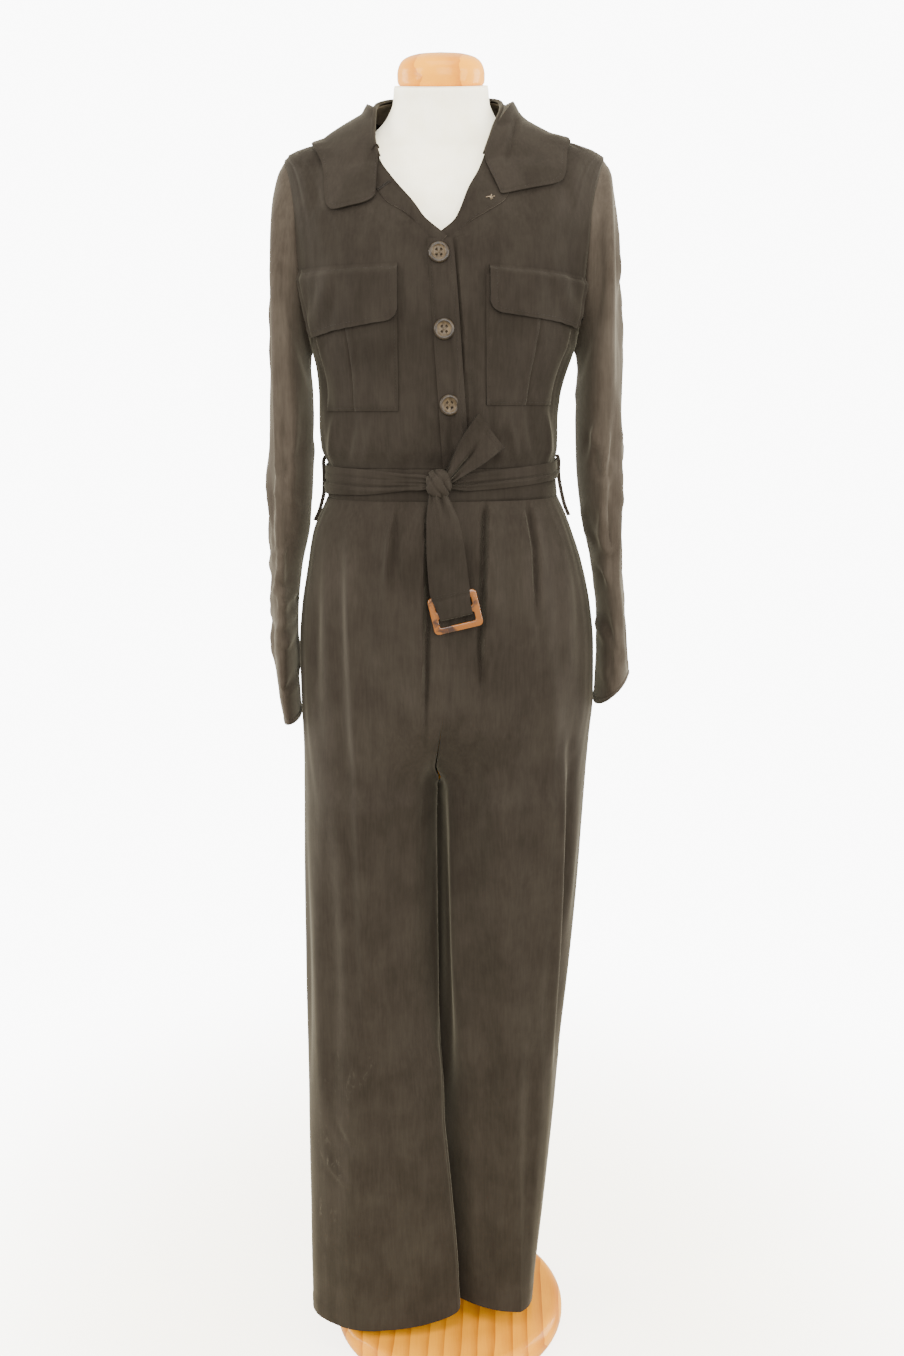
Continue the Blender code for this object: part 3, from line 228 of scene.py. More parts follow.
thread = Finish("sewing_thread", Sheen_Weight=0.05, Specular_IOR_Level=0.08)
twist = thread.node("ShaderNodeTexWave", {"bands_direction": "DIAGONAL"}, Vector=thread.place, Scale=900.0)
THREAD = thread.feed(height=twist, distance=0.0001, Roughness=0.62 + twist * 0.15,
                     Base_Color=thread.blend(twist, (0.008, 0.006, 0.004), (0.022, 0.017, 0.012)))
pale_thread = Finish("button_thread", Sheen_Weight=0.05, Specular_IOR_Level=0.1)
twist = pale_thread.node("ShaderNodeTexWave", {"bands_direction": "DIAGONAL"}, Vector=pale_thread.place,
                         Scale=1200.0)
PALE_THREAD = pale_thread.feed(height=twist, distance=0.0001, Roughness=0.6 + twist * 0.15,
                               Base_Color=pale_thread.blend(twist, (0.13, 0.095, 0.055), (0.26, 0.20, 0.13)))
print("cloth finishes:", CLOTH.name, TROUSER_CLOTH.name, RUBBED_CLOTH.name, SLEEVE_CLOTH_PAINTED_LIGHTER.name, UNDERSIDE_PAINTED_DARKER.name)

# %% [markdown]
# ## Jersey, wood, horn and tortoiseshell
# The form is covered in off-white jersey: a fine knit of little ribs. Its cap and base are clear
# lacquered pine, so the grain is a stretched, distorted ring pattern under a coat. The buttons
# are mottled horn, pale in the dished middle, and the buckle is amber tortoiseshell: dark
# clouds in a warm, glossy resin.

# %% Jersey
jersey = Finish("form_jersey", Sheen_Weight=0.15, Specular_IOR_Level=0.25)
ribs = jersey.node("ShaderNodeTexWave", {"bands_direction": "X"}, Vector=jersey.place, Scale=190.0, Distortion=0.3)
courses = jersey.node("ShaderNodeTexWave", {"bands_direction": "Z"}, Vector=jersey.place, Scale=260.0)
lint = jersey.noise(jersey.place, 40.0, 4.0)
JERSEY = jersey.feed(height=ribs * 0.6 + courses * 0.4, distance=0.0003, strength=0.6,
                     Roughness=0.78 + lint * 0.15,
                     Base_Color=jersey.blend(lint.between(0.3, 0.7) * 0.6 + ribs * 0.25,
                                             (0.88, 0.81, 0.60), (0.96, 0.91, 0.74)))

# %% Lacquered wood


def lacquered(name, pale, deep, turn, ring_scale):
    wood = Finish(name, Coat_Weight=0.14, Coat_Roughness=0.08, Specular_IOR_Level=0.08)
    grain = wood.stretch((1.0, 0.07, 1.0), (0.0, 0.0, turn), (0.13, 0.02, 0.05))
    rings = wood.node("ShaderNodeTexWave", {"bands_direction": "X", "wave_profile": "SAW"}, Vector=grain,
                      Scale=ring_scale, Distortion=3.2, Detail=3.0, Detail_Scale=1.4, Detail_Roughness=0.6)
    fibres = wood.noise(wood.stretch((1.0, 0.03, 1.0), (0.0, 0.0, turn)), 700.0, 4.0, 0.7)
    clouds = wood.noise(wood.place, 14.0, 3.0)
    tone = rings ** 2.2 * 0.70 + fibres.between(0.35, 0.75) * 0.16 + clouds.between(0.35, 0.7) * 0.20
    return wood.feed(height=fibres, distance=0.00008, strength=0.35, Roughness=0.24 + fibres * 0.16,
                     Base_Color=wood.blend(tone, pale, deep))


BASE_WOOD = lacquered("lacquered_wood", (0.56, 0.225, 0.002), (0.27, 0.075, 0.0003), math.radians(35.0), 17.0)
CAP_WOOD = lacquered("lacquered_wood_cap", (0.72, 0.290, 0.002), (0.44, 0.135, 0.0005), math.radians(70.0), 20.0)

# %% Horn and tortoiseshell
horn = Finish("horn", Coat_Weight=0.08, Coat_Roughness=0.12, Specular_IOR_Level=0.2)
mottle = horn.noise(horn.stretch((1.0, 1.0, 0.35), (0.0, 0.7, 0.0)), 170.0, 4.0, 0.65, 1.2)
specks = horn.noise(horn.place, 620.0, 2.0)
HORN = horn.feed(Base_Color=horn.blend(mottle.between(0.40, 0.62) * 0.8 + specks.between(0.5, 0.7) * 0.2,
                                       (0.010, 0.0065, 0.003), (0.034, 0.022, 0.010)),
                 Roughness=0.26 + mottle * 0.2, height=specks, distance=0.00005)
pale_horn = Finish("horn_middle", Coat_Weight=0.05, Coat_Roughness=0.15, Specular_IOR_Level=0.15)
mottle = pale_horn.noise(pale_horn.stretch((1.0, 1.0, 0.35), (0.0, 0.7, 0.0)), 170.0, 4.0, 0.65, 1.2)
PALE_HORN = pale_horn.feed(Roughness=0.34 + mottle * 0.2,
                           Base_Color=pale_horn.blend(mottle.between(0.35, 0.65),
                                                      (0.026, 0.016, 0.006), (0.062, 0.042, 0.020)))
shell = Finish("tortoiseshell", Coat_Weight=0.3, Coat_Roughness=0.06, Specular_IOR_Level=0.3)
clouds = shell.noise(shell.stretch((1.0, 1.0, 1.0), (0.0, 0.4, 0.0)), 62.0, 3.0, 0.5, 1.2)
flecks = shell.noise(shell.place, 420.0, 2.0)
SHELL = shell.feed(Base_Color=shell.blend(clouds.between(0.30, 0.52) * 0.88 + flecks.between(0.55, 0.7) * 0.12,
                                          (0.020, 0.0055, 0.0002), (0.150, 0.046, 0.0002)),
                   Roughness=0.14 + clouds * 0.12, height=flecks, distance=0.00004)
print("hard finishes:", JERSEY.name, BASE_WOOD.name, CAP_WOOD.name, HORN.name, SHELL.name)
# %% [markdown]
# ## Sections of the worn cloth
# The suit's shape is a set of rounded sections at named heights: bodice, hips, two legs, two
# sleeves and the collar, in metres. Most rows are the ones that the CAD solids are made from, so
# a sheet made on them lies on its solid. The collar's rows differ from its solid's: its fold is
# lower here. A `Table` reads any row between on a smooth curve, for a whole array of heights.

# %% Sizes
WALL = 0.0014            # one layer of cloth
DOUBLE_WALL = 0.0018     # two layers sewn together
GAP = 0.0003             # between pieces sewn edge to edge
LIFT = 0.0011            # under a piece that lies on a panel
SQUARE, LEG_SQUARE = 2.4, 2.0        # roundness of a section: 2 is an ellipse, more is squarer
HEM_RIGHT, HEM_LEFT = 0.047, 0.060   # the wearer's right is on the -X side
CROTCH, FORK = 0.790, 0.130
TROUSER_TOP, BODICE_BOTTOM = 1.163, 1.201
UNDERARM, SHOULDER_TIP, SIDE_NECK = 1.340, 1.556, 1.610
BACK_NECK_DROP = 0.012
ARMHOLE_FRONT, ARMHOLE_BACK = -0.062, 0.066
PLACKET_HALF, PLACKET_TOP = 0.0135, 1.452
BELT_WALL, BELT_LIFT = 0.0024, 0.0015
# Places inside a sheet, from which its outer side is told; a height of 1 means level, all the way up.
BODY_AXIS, WAIST_AXIS, LOOP_AXIS = (0.0, 0.0, 1.0), (0.0, 0.0, 1.18), (0.0, 0.0, 1.17)
NECK_AXIS, LEAF_AXIS = (0.0, 0.0, 1.56), (0.0, 0.0, 1.50)


class Table:
    """Rows by their first column, read anywhere between on a smooth curve."""

    def __init__(self, names, *rows):
        self.names = names.split()
        self.rows = np.array(sorted(rows), float)
        self.keys = self.rows[:, 0]
        steps = np.diff(self.keys)[:, None]
        secants = np.diff(self.rows, axis=0) / steps
        before, after = secants[:-1], secants[1:]
        same_way = before * after > 0.0
        total = np.where(same_way, before + after, 1.0)
        inner = np.where(same_way, 2.0 * before * after / total, 0.0)
        self.slopes = np.vstack([secants[:1], inner, secants[-1:]])

    def at(self, key):
        key = np.asarray(key, float)
        i = np.clip(np.searchsorted(self.keys, key) - 1, 0, len(self.keys) - 2)
        step = (self.keys[i + 1] - self.keys[i])[..., None]
        t = np.clip((key[..., None] - self.keys[i][..., None]) / step, 0.0, 1.0)
        rise = t * t * (3.0 - 2.0 * t)
        values = (self.rows[i] * (1.0 - rise) + self.rows[i + 1] * rise
                  + self.slopes[i] * step * t * (1.0 - t) ** 2
                  - self.slopes[i + 1] * step * t * t * (1.0 - t))
        return SimpleNamespace(**dict(zip(self.names, np.moveaxis(values, -1, 0))))


# %% The tables
BODICE = Table(
    "z     left    right   front   back",
    (1.190, -0.1400, 0.1340, -0.117, 0.096),
    (1.201, -0.1420, 0.1360, -0.119, 0.098),
    (1.222, -0.1470, 0.1365, -0.123, 0.103),
    (1.250, -0.1490, 0.1365, -0.126, 0.107),
    (1.280, -0.1495, 0.1405, -0.128, 0.109),
    (1.305, -0.1515, 0.1470, -0.130, 0.111),
    (1.340, -0.1590, 0.1600, -0.131, 0.113),
    (1.390, -0.1720, 0.1730, -0.131, 0.115),
    (1.450, -0.1840, 0.1860, -0.123, 0.115),
    (1.500, -0.1890, 0.1930, -0.104, 0.107),
    (1.530, -0.1900, 0.1960, -0.087, 0.095),
    (1.547, -0.1890, 0.1950, -0.073, 0.084),
    (1.556, -0.1840, 0.1900, -0.066, 0.077),
    (1.563, -0.1720, 0.1790, -0.061, 0.072),
    (1.570, -0.1480, 0.1560, -0.059, 0.069),
    (1.578, -0.1220, 0.1260, -0.058, 0.067),
    (1.590, -0.1010, 0.1010, -0.058, 0.066),
    (1.600, -0.0900, 0.0890, -0.058, 0.065),
    (1.612, -0.0820, 0.0810, -0.058, 0.064))

NECKLINE = Table(        # where the collar is sewn to the fronts
    "z      left     right",
    (1.4550, -0.0100, 0.0110),
    (1.4700, -0.0240, 0.0260),
    (1.4830, -0.0400, 0.0480),
    (1.4980, -0.0620, 0.0690),
    (1.5300, -0.0790, 0.0810),
    (1.5600, -0.0830, 0.0840),
    (1.5900, -0.0820, 0.0820),
    (1.6120, -0.0790, 0.0780))

HIPS = Table(
    "z     left    right   front   back   middle",
    (0.780, -0.1840, 0.1795, -0.120, 0.114, -0.015),
    (0.860, -0.1825, 0.1845, -0.124, 0.119, -0.007),
    (0.910, -0.1820, 0.1880, -0.126, 0.123, -0.002),
    (0.980, -0.1815, 0.1870, -0.128, 0.127, 0.004),
    (1.030, -0.1780, 0.1820, -0.129, 0.126, 0.006),
    (1.080, -0.1705, 0.1715, -0.128, 0.121, 0.008),
    (1.120, -0.1630, 0.1580, -0.125, 0.113, 0.009),
    (1.163, -0.1440, 0.1400, -0.119, 0.100, 0.010))

LEG_RIGHT = Table(       # wearer's right, on the -X side; "middle" is where front and back reach furthest
    "z     outer    inner    front   back   middle  outer_y inner_y",
    (0.047, -0.1900, 0.0150, -0.097, 0.000, -0.095, -0.040, -0.066),
    (0.120, -0.1900, 0.0130, -0.098, 0.002, -0.096, -0.038, -0.064),
    (0.220, -0.1890, 0.0060, -0.099, 0.005, -0.098, -0.034, -0.060),
    (0.300, -0.1890, -0.0010, -0.100, 0.010, -0.100, -0.028, -0.056),
    (0.360, -0.1890, -0.0070, -0.100, 0.022, -0.100, -0.022, -0.050),
    (0.430, -0.1890, -0.0150, -0.101, 0.046, -0.101, -0.013, -0.032),
    (0.500, -0.1890, -0.0185, -0.102, 0.072, -0.102, -0.006, -0.010),
    (0.600, -0.1880, -0.0185, -0.105, 0.092, -0.102, 0.000, 0.000),
    (0.760, -0.1845, -0.0175, -0.113, 0.108, -0.100, 0.000, 0.000),
    (0.790, -0.1840, -0.0153, -0.115, 0.112, -0.098, 0.000, 0.000),
    (0.930, -0.1820, -0.0150, -0.120, 0.120, -0.095, 0.000, 0.000))

LEG_LEFT = Table(        # wearer's left, on the +X side, round the pole
    "z     outer   inner    front   back   middle outer_y inner_y",
    (0.060, 0.1190, -0.0260, -0.078, 0.096, 0.095, 0.000, 0.044),
    (0.120, 0.1250, -0.0255, -0.079, 0.096, 0.095, 0.000, 0.043),
    (0.264, 0.1390, -0.0215, -0.083, 0.098, 0.094, 0.000, 0.038),
    (0.346, 0.1460, -0.0190, -0.087, 0.099, 0.092, 0.000, 0.026),
    (0.436, 0.1520, -0.0155, -0.091, 0.100, 0.090, 0.000, 0.012),
    (0.540, 0.1600, -0.0148, -0.097, 0.102, 0.089, 0.000, 0.003),
    (0.668, 0.1720, -0.0148, -0.105, 0.106, 0.089, 0.000, 0.000),
    (0.790, 0.1800, -0.0149, -0.113, 0.112, 0.090, 0.000, 0.000),
    (0.930, 0.1880, -0.0152, -0.120, 0.120, 0.092, 0.000, 0.000))
# A sleeve's rings: its outermost and innermost point, and how deep it is from front to back.
SLEEVE_RIGHT = Table(
    "ring outer    outer_z inner    inner_z front   back",
    (0, -0.1840, 1.5560, -0.1580, 1.3400, -0.062, 0.066),
    (1, -0.1915, 1.5440, -0.1625, 1.3260, -0.067, 0.071),
    (2, -0.1990, 1.5100, -0.1630, 1.3080, -0.072, 0.076),
    (3, -0.2040, 1.4600, -0.1610, 1.2860, -0.075, 0.079),
    (4, -0.2075, 1.3800, -0.1605, 1.2520, -0.076, 0.080),
    (5, -0.2115, 1.2800, -0.1625, 1.2000, -0.075, 0.079),
    (6, -0.2155, 1.1700, -0.1680, 1.1300, -0.072, 0.076),
    (7, -0.2170, 1.0900, -0.1810, 1.0700, -0.068, 0.072),
    (8, -0.2170, 1.0200, -0.1875, 1.0100, -0.063, 0.067),
    (9, -0.2155, 0.9550, -0.1885, 0.9500, -0.058, 0.062),
    (10, -0.2120, 0.9150, -0.1880, 0.9130, -0.055, 0.059),
    (11, -0.2060, 0.8820, -0.1870, 0.8820, -0.053, 0.057))

SLEEVE_LEFT = Table(
    "ring outer   outer_z inner   inner_z front   back",
    (0, 0.1900, 1.5560, 0.1600, 1.3400, -0.062, 0.066),
    (1, 0.1975, 1.5440, 0.1645, 1.3260, -0.067, 0.071),
    (2, 0.2040, 1.5180, 0.1655, 1.3080, -0.072, 0.076),
    (3, 0.2085, 1.4700, 0.1640, 1.2860, -0.075, 0.079),
    (4, 0.2130, 1.3800, 0.1635, 1.2520, -0.076, 0.080),
    (5, 0.2175, 1.2800, 0.1650, 1.2000, -0.075, 0.079),
    (6, 0.2185, 1.1700, 0.1715, 1.1400, -0.072, 0.076),
    (7, 0.2210, 1.0950, 0.1850, 1.0750, -0.068, 0.072),
    (8, 0.2260, 1.0200, 0.1935, 1.0050, -0.063, 0.067),
    (9, 0.2310, 0.9650, 0.1930, 0.9350, -0.058, 0.062),
    (10, 0.2340, 0.9420, 0.1915, 0.8980, -0.055, 0.059))

# The collar, from its end on the -X side (place -5) round the back (0) to the other end (5).
# The fold stands free, and the leaf's edge lies on the body at an angle and a height.
COLLAR = Table(
    "place seam_z  fold_x   fold_y   fold_z  edge_angle edge_z",
    (-5.0, 1.4580, -0.0045, -0.1225, 1.4640, 338.0, 1.4985),
    (-4.0, 1.4760, -0.0270, -0.1130, 1.4900, 338.0, 1.4985),
    (-3.4, 1.4900, -0.0450, -0.1025, 1.5100, 338.0, 1.4985),
    (-3.0, 1.5050, -0.0560, -0.0925, 1.5240, 330.5, 1.4880),
    (-2.4, 1.5350, -0.0690, -0.0790, 1.5440, 318.0, 1.4850),
    (-1.9, 1.5650, -0.0755, -0.0600, 1.5720, 321.0, 1.5450),
    (-1.4, 1.5950, -0.0755, -0.0300, 1.6020, 303.0, 1.5690),
    (-1.2, 1.6100, -0.0745, -0.0125, 1.6100, 276.0, 1.5770),
    (-1.0, 1.6100, -0.0695, 0.0050, 1.6170, 240.0, 1.5780),
    (-0.5, 1.6100, -0.0500, 0.0440, 1.6280, 212.0, 1.5850),
    (0.0, 1.6100, 0.0000, 0.0640, 1.6310, 180.0, 1.5880),
    (0.5, 1.6100, 0.0500, 0.0430, 1.6280, 148.0, 1.5850),
    (1.0, 1.6100, 0.0675, 0.0030, 1.6170, 120.0, 1.5780),
    (1.2, 1.6100, 0.0690, -0.0130, 1.6100, 101.0, 1.5780),
    (1.4, 1.5950, 0.0680, -0.0300, 1.6020, 80.0, 1.5760),
    (1.9, 1.5650, 0.0590, -0.0560, 1.5790, 44.0, 1.5560),
    (2.4, 1.5350, 0.0510, -0.0740, 1.5560, 41.5, 1.5190),
    (3.0, 1.5050, 0.0410, -0.0900, 1.5300, 29.5, 1.5080),
    (3.4, 1.4940, 0.0300, -0.1030, 1.5100, 19.5, 1.5000),
    (4.0, 1.4730, 0.0200, -0.1130, 1.4860, 19.5, 1.5000),
    (5.0, 1.4580, 0.0035, -0.1225, 1.4640, 19.5, 1.5000))
LEAF_END = 3.4           # place where the leaf's front ends are
LEAF_OFFSET = 0.0040     # between the stand's outer side and the leaf's

FORM = Table(
    "z     width   front   back",
    (0.935, 0.1440, -0.086, 0.092),
    (0.945, 0.1530, -0.094, 0.100),
    (0.990, 0.1620, -0.103, 0.110),
    (1.050, 0.1590, -0.103, 0.110),
    (1.100, 0.1480, -0.099, 0.099),
    (1.150, 0.1310, -0.092, 0.084),
    (1.185, 0.1220, -0.088, 0.078),
    (1.250, 0.1250, -0.094, 0.083),
    (1.320, 0.1360, -0.106, 0.093),
    (1.390, 0.1450, -0.115, 0.099),
    (1.450, 0.1520, -0.106, 0.100),
    (1.500, 0.1600, -0.087, 0.092),
    (1.530, 0.1650, -0.070, 0.080),
    (1.548, 0.1620, -0.057, 0.068),
    (1.556, 0.1500, -0.052, 0.063),
    (1.564, 0.1250, -0.050, 0.060),
    (1.572, 0.1000, -0.050, 0.058),
    (1.584, 0.0790, -0.050, 0.056),
    (1.600, 0.0640, -0.050, 0.054),
    (1.618, 0.0565, -0.051, 0.053),
    (1.637, 0.0550, -0.053, 0.053))
# %% [markdown]
# ## From sections to surfaces
# Each sewn piece is one surface: two shares, across and up, give a point on the cloth's outer
# side. The functions work on whole arrays, because a piece has thousands of vertices.

# %% Points on the sections


def smoothstep(low, high, value):
    t = np.clip((value - low) / (high - low), 0.0, 1.0)
    return t * t * (3.0 - 2.0 * t)


def oval(angle, left, right, front, back, middle, left_y=0.0, right_y=0.0, square=SQUARE):
    """A point of a rounded section: 0 degrees is the front, 90 is +X, 180 the back."""
    cosine, sine = np.cos(np.radians(angle)), np.sin(np.radians(angle))
    reach = (np.abs(cosine) ** square + np.abs(sine) ** square) ** (-1.0 / square)
    width = np.where(sine >= 0.0, right - middle, middle - left)
    side_y = np.where(sine >= 0.0, right_y, left_y)
    depth = np.where(cosine >= 0.0, side_y - front, back - side_y)
    return middle + width * reach * sine, side_y - depth * reach * cosine


def angle_at(share):
    """The angle at which a section has reached this share of its half width."""
    power = np.minimum(np.abs(share), 0.99999) ** SQUARE
    angle = np.degrees(np.arctan((power / (1.0 - power)) ** (1.0 / SQUARE)))
    return np.copysign(angle, share)


def bodice_point(angle, z):
    row = BODICE.at(z)
    x, y = oval(angle, row.left, row.right, row.front, row.back, 0.0)
    return np.stack([x, y, z + 0.0 * x], -1)


def bodice_angle(x, z):
    row = BODICE.at(z)
    return angle_at(x / np.where(np.asarray(x) >= 0.0, row.right, -row.left))


def front_middle(z):
    """X of the line down the middle of the placket, which leans a little."""
    return -0.002 + 0.064 * (1.4365 - z)


def armhole_edge(z, side, depth):
    """The angle of the armhole's edge, to the front or to the back."""
    middle, half = 0.5 * (UNDERARM + SHOULDER_TIP), 0.5 * (SHOULDER_TIP - UNDERARM)
    level = np.minimum(np.abs(z - middle) / half, 1.0)
    row = BODICE.at(z)
    full = row.back if depth > 0.0 else row.front
    turn = angle_at(depth / full * np.sqrt(1.0 - level * level))
    return side * (90.0 + turn if depth > 0.0 else 90.0 - turn)


def front_ends(side, z):
    """The angles at which a bodice front begins and ends, from -X to +X."""
    row = NECKLINE.at(z)
    on_neck = bodice_angle(row.right if side > 0 else row.left, z)
    inner = np.where(z > PLACKET_TOP + 0.003, on_neck, bodice_angle(front_middle(z), z))
    outer = armhole_edge(z, side, ARMHOLE_FRONT)
    return (inner, outer) if side > 0 else (outer, inner)


def back_point(across, z):
    low = armhole_edge(z, 1, ARMHOLE_BACK)
    high = 360.0 + armhole_edge(z, -1, ARMHOLE_BACK)
    dip = BACK_NECK_DROP * smoothstep(1.50, SIDE_NECK, z) * np.sin(math.pi * across)
    return bodice_point(low + (high - low) * across, z - dip)


def trouser_point(side, hip_angles, leg_angles, across, z):
    hips = HIPS.at(z)
    leg = (LEG_LEFT if side > 0 else LEG_RIGHT).at(z)
    hip_angle = hip_angles[0] + (hip_angles[1] - hip_angles[0]) * across
    leg_angle = leg_angles[0] + (leg_angles[1] - leg_angles[0]) * across
    on_hip = oval(hip_angle, hips.left, hips.right, hips.front, hips.back, hips.middle)
    ends = (leg.inner, leg.outer) if side > 0 else (leg.outer, leg.inner)
    at_sides = (leg.inner_y, leg.outer_y) if side > 0 else (leg.outer_y, leg.inner_y)
    on_leg = oval(leg_angle, *ends, leg.front, leg.back, leg.middle, *at_sides, LEG_SQUARE)
    share = (1.0 - np.clip((z - CROTCH) / FORK, 0.0, 1.0)) ** 2
    return np.stack([on_hip[0] * (1 - share) + on_leg[0] * share,
                     on_hip[1] * (1 - share) + on_leg[1] * share, z + 0.0 * share], -1)


def waist_point(angle, z):
    """Between the top of the trousers and the bottom of the bodice."""
    share = np.clip((z - TROUSER_TOP) / (BODICE_BOTTOM - TROUSER_TOP), 0.0, 1.0)
    row = HIPS.at(TROUSER_TOP)
    low = oval(angle, row.left, row.right, row.front, row.back, 0.0)
    high = bodice_point(angle, np.full_like(share, BODICE_BOTTOM))
    return np.stack([low[0] + (high[..., 0] - low[0]) * share,
                     low[1] + (high[..., 1] - low[1]) * share, z + 0.0 * share], -1)


print("waist half width:", round(float(waist_point(np.array(90.0), np.array(1.18))[0]), 4))

# %% [markdown]
# ## Folds, placed one by one
# Cloth on a form falls in a few long folds, where it hangs free, and in short creases, where it
# is held. Each crease here is one row: a path of three places seen from one side, its width and
# its depth. A trough has a soft ridge along either side, because the cloth has to go somewhere.
# A lap is the edge of a pleat: a step that is sharp on one side and dies away on the other.

# %% Creases, laps and ripples
FRONT_VIEW, SIDE_VIEW = (0, 2), (1, 2)
LAP_SHARPNESS = 0.0019   # half the width of a pleat's edge


def crease_height(points, rows, view=FRONT_VIEW):
    """Height of soft troughs (depth below 0) and ridges along curved paths."""
    flat = points[..., view]
    total = np.zeros(flat.shape[:-1])
    steps = np.linspace(0.0, 1.0, 17)
    for start_a, start_z, mid_a, mid_z, end_a, end_z, width, depth in rows:
        a, b, c = (1 - steps) * (1 - 2 * steps), 4 * steps * (1 - steps), steps * (2 * steps - 1)
        path = np.stack([a * start_a + b * mid_a + c * end_a, a * start_z + b * mid_z + c * end_z], -1)
        best, along = np.full(total.shape, 9.0), np.zeros(total.shape)
        for index in range(len(path) - 1):
            way = path[index + 1] - path[index]
            share = np.clip(((flat - path[index]) @ way) / (way @ way), 0.0, 1.0)
            away = np.linalg.norm(flat - path[index] - share[..., None] * way, axis=-1)
            closer = away < best
            best = np.where(closer, away, best)
            along = np.where(closer, (index + share) / (len(path) - 1), along)
        fade = np.sin(math.pi * np.clip(along, 0.02, 0.98)) ** 0.7
        near = best / width
        total += depth * fade * (np.exp(-near ** 2) - 0.38 * np.exp(-((near - 1.9) / 1.1) ** 2))
    return total


def lap_height(points, path, depth, reach, side):
    """A pleat's edge along a path of (place, z) from low to high; the cloth is high on one side."""
    z = points[..., 2]
    keys = np.array(path, float)
    off = (points[..., 0] - np.interp(z, keys[:, 1], keys[:, 0])) * side
    down = smoothstep(keys[0, 1], keys[0, 1] + 0.45 * (keys[-1, 1] - keys[0, 1]), z)
    down = down * smoothstep(keys[-1, 1] + 0.02, keys[-1, 1], z)
    step = smoothstep(-LAP_SHARPNESS, LAP_SHARPNESS, off) * np.exp(-np.maximum(off, 0.0) / reach)
    foot = np.exp(-((off + 1.5 * LAP_SHARPNESS) / (1.7 * LAP_SHARPNESS)) ** 2)
    return depth * down * (step - foot)


def scattered(seed, count, box, length, lean, width, depth):
    """Rows for many small uneven creases inside a box of (low a, low z, high a, high z)."""
    draw = np.random.RandomState(seed)
    rows = []
    for _ in range(count):
        a, z = draw.uniform(box[0], box[2]), draw.uniform(box[1], box[3])
        turn = math.radians(lean + draw.normal(0.0, 16.0))
        reach = length * draw.uniform(0.5, 1.3) * 0.5
        bend = draw.normal(0.0, 0.18) * reach
        way = (math.cos(turn) * reach, math.sin(turn) * reach)
        rows.append((a - way[0], z - way[1], a - way[1] / reach * bend, z + way[0] / reach * bend,
                     a + way[0], z + way[1], width * draw.uniform(0.7, 1.4), depth * draw.uniform(0.4, 1.2)))
    return rows


def ripple(across, up, seed, waves, amount):
    """Uneven long waves across a hanging piece, each drifting a little as it goes down."""
    draw = np.random.RandomState(seed)
    total = np.zeros(np.broadcast(across, up).shape)
    for count in waves:
        phase, drift, wander = draw.uniform(0, 6.28), draw.normal(0.0, 0.7), draw.uniform(2.0, 4.0)
        swing = phase + drift * up * 2.0 + 0.5 * np.sin(wander * up * math.pi + phase)
        total += np.sin(2.0 * math.pi * count * across + swing) * draw.uniform(0.6, 1.0) / len(waves)
    return total * amount


print("a scattered row:", [round(v, 3) for v in scattered(1, 1, (0, 0, 1, 1), 0.1, 90, 0.01, 0.002)[0]])

# %% [markdown]
# ## A sheet of cloth
# A sheet starts as a flat grid with a UV map. Its vertices move to their places on the surface,
# and outwards by its height of folds; the UV map is then in metres of cloth. Solidify gives the
# wall, inwards from the outer side. A closed sheet, such as a sleeve, has its first column merged
# with its last.

# %% The sheet maker
PIECES = {}
FLAT_SIZES = {}


def deselect():
    bpy.ops.object.select_all(action="DESELECT")


def active_object(name, data):
    """A new object in the scene, selected and active."""
    deselect()
    piece = bpy.data.objects.new(name, data)
    bpy.context.scene.collection.objects.link(piece)
    bpy.context.view_layer.objects.active = piece
    piece.select_set(True)
    return piece


def cut_away(piece, tool, name):
    """Cuts one object out of another, and throws the tool away."""
    deselect()
    bpy.context.view_layer.objects.active = piece
    piece.select_set(True)
    cut = piece.modifiers.new(name, "BOOLEAN")
    cut.operation, cut.solver, cut.object = "DIFFERENCE", "EXACT", tool
    bpy.ops.object.modifier_apply(modifier=cut.name)
    bpy.data.objects.remove(tool)


def finish_piece(piece, name, finish, replaced=(), angle=40.0):
    """Names a piece, shades it, gives it its finish, and ties it to the frame."""
    piece.name = piece.data.name = name
    if not piece.data.materials:
        piece.data.materials.append(finish)
    deselect()
    piece.select_set(True)
    bpy.context.view_layer.objects.active = piece
    bpy.ops.object.transform_apply(location=True, rotation=True, scale=True)
    bpy.ops.object.shade_smooth_by_angle(angle=math.radians(angle))
    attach(piece, "root")
    if replaced:
        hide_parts(*replaced)
    PIECES[name] = piece
    return piece


def outward_normals(surface, across, up, inside, closed):
    step = 1e-3
    a0, a1 = across - step, across + step
    if not closed:
        a0, a1 = np.clip(a0, 0, 1), np.clip(a1, 0, 1)
    u0, u1 = np.clip(up - step, 0, 1), np.clip(up + step, 0, 1)
    out = np.cross(surface(a1, up) - surface(a0, up), surface(across, u1) - surface(across, u0))
    out /= np.maximum(np.linalg.norm(out, axis=-1, keepdims=True), 1e-12)
    points = surface(across, up)
    centre = points.mean(axis=0) if inside is None else np.array(inside)
    away = points - centre
    if inside is None:
        away[:, 2] = 0.0
    return out if float((out * away).sum()) > 0.0 else -out


def raised(surface, height=None, lift=0.0, inside=BODY_AXIS, closed=False):
    """The surface with its folds: a height along the way out, on top of a lift."""
    def finished(across, up):
        across, up = np.atleast_1d(across).astype(float), np.atleast_1d(up).astype(float)
        across, up = np.broadcast_arrays(across, up)
        points = surface(across, up)
        out = outward_normals(surface, across, up, inside, closed)
        rise = lift + (height(across, up, points) if height else 0.0)
        return points + out * np.broadcast_to(rise, across.shape)[..., None]
    return finished


